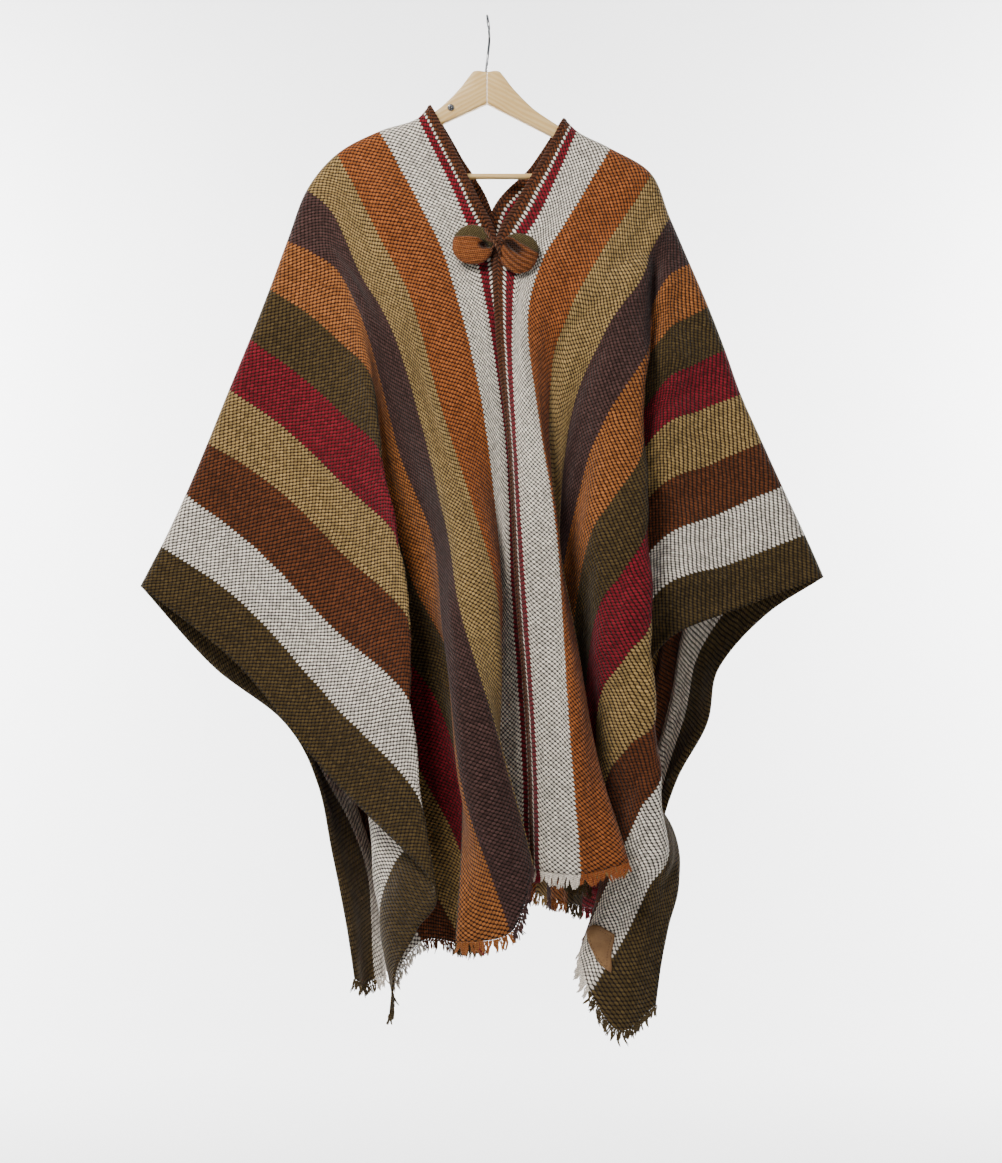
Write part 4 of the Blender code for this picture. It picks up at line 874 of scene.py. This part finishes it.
def leather_patch():
    """A small tan triangle with rounded corners, sewn round its edge."""
    surface = Surface(right_cloth)
    steps = 26
    under, over, index = [], [], {}
    lift = WALL / 2

    def corner_cut(a, b):
        c = 1 - a - b
        # pull the three corners in so that they are round
        pulled = np.array([c, a, b])
        for k in range(3):
            excess = max(0.0, pulled[k] - 0.86)
            pulled = pulled - excess * 0.45 * (np.eye(3)[k] - 1 / 3)
        return pulled / pulled.sum()

    for i in range(steps + 1):
        for j in range(steps + 1 - i):
            c, a, b = corner_cut(i / steps, j / steps)
            u, t = (PATCH[0][k] * c + PATCH[1][k] * a + PATCH[2][k] * b for k in (0, 1))
            p, n = surface.at(u, t)
            rim = min(i, j, steps - i - j) / steps
            crown = 0.0006 * float(step_up(np.array(rim), 0.0, 0.06))
            groove = -0.00045 * math.exp(-(((rim - 0.075) / 0.016) ** 2))
            index[i, j] = len(under)
            under.append(p + n * (lift + 0.0009))
            over.append(p + n * (lift + 0.0019 + crown + groove))
    count = len(under)
    faces = []
    for i in range(steps):
        for j in range(steps - i):
            for shift, flip in ((0, True), (count, False)):
                tri = [index[i, j], index[i + 1, j], index[i, j + 1]]
                faces.append(tuple(shift + k for k in (tri[::-1] if flip else tri)))
                if i + j < steps - 1:
                    tri = [index[i + 1, j], index[i + 1, j + 1], index[i, j + 1]]
                    faces.append(tuple(shift + k for k in (tri[::-1] if flip else tri)))
    ring = [(i, 0) for i in range(steps)] + [(steps - j, j) for j in range(steps)] + [(0, steps - j) for j in range(steps)]
    for p, q in zip(ring, ring[1:] + ring[:1]):
        faces.append((index[p], index[q], index[q] + count, index[p] + count))
    obj = mesh_of("leather_triangle", under + over, faces)
    shape = bmesh.new()
    shape.from_mesh(obj.data)
    bmesh.ops.recalc_face_normals(shape, faces=shape.faces)
    shape.to_mesh(obj.data)
    shape.free()
    # stitches along the groove
    made = []
    inset = 0.075
    ring_uv = [(inset, inset), (1 - 2 * inset, inset), (inset, 1 - 2 * inset)]
    for (a0, b0), (a1, b1) in zip(ring_uv, ring_uv[1:] + ring_uv[:1]):
        count = 11
        for k in range(count):
            ends = []
            for f in ((k + 0.18) / count, (k + 0.5) / count, (k + 0.82) / count):
                c, a, b = corner_cut(a0 + (a1 - a0) * f, b0 + (b1 - b0) * f)
                u, t = (PATCH[0][m] * c + PATCH[1][m] * a + PATCH[2][m] * b for m in (0, 1))
                p, n = surface.at(u, t)
                ends.append(p + n * (lift + 0.0020))
            made.append(cord_tube("stitch", ends, 0.00038, None, None, 0.0006, 6))
    return part(obj, leather_finish, "leather", "leather_patch"), part(joined("leather_stitches", made), stitch_finish, "leather")


patch_hide, patch_stitches = leather_patch()

# ---------------------------------------------------------------- hanger


def wooden_arm(name, table, node):
    """One half of the hanger, rounded along its edges."""
    rows = np.array(table, float)
    xs = rows[:, 0]
    order = np.argsort(xs)
    at = np.unique(np.concatenate([np.linspace(xs.min(), xs.max(), 150), xs]))
    fine = hermite(xs[order], rows[order][:, 1:], at)
    fine[:, 0] = np.interp(at, xs[order], rows[order][:, 1]) * 0.35 + fine[:, 0] * 0.65
    rings = []
    for across, (top, bottom, thick) in zip(at, fine):
        x, high, low = (across - SHEET_X) * UNIT, -(top - SHEET_Z) * UNIT, -(bottom - SHEET_Z) * UNIT
        half, tall = thick / 1000, max(high - low, 0.004)
        edge = min(0.0034, tall / 2.6, half * 0.8)
        ring = []
        for cy, cz, start in ((half - edge, high - edge, 0), (-half + edge, high - edge, 90), (-half + edge, low + edge, 180), (half - edge, low + edge, 270)):
            for k in range(6):
                angle = math.radians(start + 18 * k)
                ring.append((x, cy + edge * math.cos(angle), cz + edge * math.sin(angle)))
        rings.append(ring)
    obj = tube(name, rings, [(0, 0)] * (len(rings) * 24))
    return part(obj, wood_finish, "wood", node)


arm_left = wooden_arm("hanger_arm_left_wood", ARM_LEFT, "hanger_arm_left")
arm_right = wooden_arm("hanger_arm_right_wood", ARM_RIGHT, "hanger_arm_right")

bar_low, bar_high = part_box("hanger_bar")
bar_y, bar_z = (bar_low[1] + bar_high[1]) / 2, (bar_low[2] + bar_high[2]) / 2
rings, uvs = [], []
for f in np.concatenate([[0, 0.0015, 0.004], np.linspace(0.01, 0.99, 60), [0.996, 0.9985, 1.0]]):
    end = min(1.0, 0.72 + min(f, 1 - f) * 70)
    x = bar_low[0] + (bar_high[0] - bar_low[0]) * f
    rings.append([(x, bar_y + BAR_R * end * math.cos(a), bar_z + BAR_R * end * math.sin(a)) for a in np.linspace(0, 2 * math.pi, 28, endpoint=False)])
    uvs += [(0, 0)] * 28
bar = part(tube("hanger_dowel", rings, uvs), dowel_finish, "wood", "hanger_bar")

wood_top = -(72 - SHEET_Z) * UNIT
hook_middle = WIRE_R - HOOK_R
route = [(0.0, wood_top + GAP), (0.0, -0.058), (0.0012, -0.049), (0.0058, -0.0415)]
for k in range(15):
    turn = math.radians(-46 + 17.2 * k)
    route.append((HOOK_R * math.cos(turn), hook_middle + HOOK_R * math.sin(turn)))
lean = [(-0.073, -0.0022), (-0.045, 0.0008), (-0.024, 0.0022), (0.002, -0.0008)]
hook_line = np.array([(float(hermite([a for a, _ in lean], [b for _, b in lean], [z])[0]) + 0.0008, y, z) for y, z in route])
hook_line = hermite(np.arange(len(hook_line)), hook_line, np.linspace(0, len(hook_line) - 1, 160))
hook_line, hook_at = resample(hook_line, 0.0009)
along = unit(np.gradient(hook_line, axis=0))
side = unit(np.cross(along, np.array([1.0, 0.0, 0.0])))
out = np.cross(side, along)
rings, uvs = [], []
for p, s, o, d in zip(hook_line, side, out, hook_at):
    left_over = hook_at[-1] - d
    thick = WIRE_R * math.sqrt(max(0.05, 1 - (1 - min(1.0, left_over / WIRE_R)) ** 2)) * 0.995
    rings.append([p + (s * math.cos(a) + o * math.sin(a)) * thick for a in np.linspace(0, 2 * math.pi, 20, endpoint=False)])
    uvs += [(d, 0)] * 20
hook = part(tube("hanger_wire_hook", rings, uvs), steel_finish, "steel", "hanger_hook")


def screw_head():
    """A small round head with a cross slot."""
    low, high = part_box("hanger_screw")
    cx, cz = (low[0] + high[0]) / 2, (low[2] + high[2]) / 2
    radius, front, back = (high[0] - low[0]) / 2, low[1], high[1]
    rings, spokes = 22, 96
    vertices, faces = [], []
    for i in range(rings + 1):
        r = i / rings
        for k in range(spokes):
            a = 2 * math.pi * k / spokes
            x, z = r * math.cos(a), r * math.sin(a)
            dome = 0.25 * r**2 + (0.75 * max(0.0, (r - 0.85) / 0.15) ** 2 if r > 0.85 else 0)
            slot = 1.0 if (min(abs(x), abs(z)) < 0.13 and max(abs(x), abs(z)) < 0.62) else 0.0
            depth = min(1.0, dome + 0.55 * slot)
            vertices.append((cx + x * radius, front + (back - front) * depth, cz + z * radius))
    base = len(vertices)
    for k in range(spokes):
        a = 2 * math.pi * k / spokes
        vertices.append((cx + radius * math.cos(a), back, cz + radius * math.sin(a)))
    for i in range(rings + 1):
        for k in range(spokes):
            n = (k + 1) % spokes
            faces.append((i * spokes + k, i * spokes + n, (i + 1) * spokes + n, (i + 1) * spokes + k))
    faces.append(tuple(base + k for k in range(spokes)))
    obj = mesh_of("hanger_screw_head", vertices, faces)
    shape = bmesh.new()
    shape.from_mesh(obj.data)
    bmesh.ops.remove_doubles(shape, verts=shape.verts, dist=1e-7)
    bmesh.ops.recalc_face_normals(shape, faces=shape.faces)
    shape.to_mesh(obj.data)
    shape.free()
    return part(obj, steel_finish, "steel", "hanger_screw")


screw = screw_head()

# ---------------------------------------------------------------- stage


def cyclorama():
    """A pale wall that runs down into the floor in one curve."""
    wall_y, floor_z, bend = 5.4, -2.2, 1.6
    profile = [(wall_y, 3.6), (wall_y, 0.5), (wall_y, floor_z + bend)]
    profile += [(wall_y - bend + bend * math.cos(a), floor_z + bend - bend * math.sin(a)) for a in np.linspace(0.08, math.pi / 2 - 0.05, 22)]
    profile += [(wall_y - bend, floor_z), (-7.0, floor_z)]
    xs = np.linspace(-7, 7, 9)
    vertices = [(x, y, z) for y, z in profile for x in xs]
    faces = [(i * 9 + k, i * 9 + k + 1, (i + 1) * 9 + k + 1, (i + 1) * 9 + k) for i in range(len(profile) - 1) for k in range(8)]
    obj = mesh_of("cyclorama", vertices, faces)
    f = Finish("studio_paper", 0.9, specular=0.2)
    where, x, y, z = f.place()
    mottle = f.noise(where, 1.1, 3.0)
    obj.data.materials.append(f.finish(f.mix(f.span(mottle, 0.3, 0.7), (0.90, 0.90, 0.905, 1), (0.93, 0.93, 0.932, 1)), f.noise(where, 90.0), 0.001, 0.1))


cyclorama()


def lamp(name, place, target, size, power, colour=(1, 1, 1), shape_y=None):
    data = bpy.data.lights.new(name, "AREA")
    data.energy, data.size, data.color = power, size, colour
    if shape_y:
        data.shape, data.size_y = "RECTANGLE", shape_y
    obj = bpy.data.objects.new(name, data)
    bpy.context.scene.collection.objects.link(obj)
    obj.location = place
    obj.visible_camera = False
    obj.rotation_euler = (Vector(target) - Vector(place)).to_track_quat("-Z", "Y").to_euler()


lamp("key", (-0.98, -1.65, 1.08), (0.0, 0.0, -0.35), 0.8, 82, (1.0, 0.985, 0.96))
lamp("fill", (1.7, -2.8, 0.7), (0.0, 0.0, -0.6), 2.0, 12, (0.97, 0.985, 1.0))
lamp("backdrop_left", (-3.7, 3.5, 0.2), (0.55, 5.4, -0.75), 1.3, 680)
lamp("backdrop_right", (3.7, 3.5, 0.2), (-0.55, 5.4, -0.75), 1.3, 680)

world = bpy.data.worlds.new("studio")
bpy.context.scene.world = world
world.use_nodes = True
world.node_tree.nodes["Background"].inputs[0].default_value = (0.93, 0.95, 1.0, 1)
world.node_tree.nodes["Background"].inputs[1].default_value = 0.15

camera = bpy.data.cameras.new("camera")
camera.sensor_fit, camera.sensor_width = "HORIZONTAL", 36.0
camera.lens = 36.0 * DRAFT_FROM / (1002 * UNIT)
camera.clip_start, camera.clip_end = 0.05, 60
eye = bpy.data.objects.new("camera", camera)
bpy.context.scene.collection.objects.link(eye)
eye.location = ((DRAFT_X - SHEET_X) * UNIT, -DRAFT_FROM, -(DRAFT_Z - SHEET_Z) * UNIT)
eye.rotation_euler = (math.pi / 2, 0, 0)
bpy.context.scene.camera = eye

bpy.context.view_layer.update()
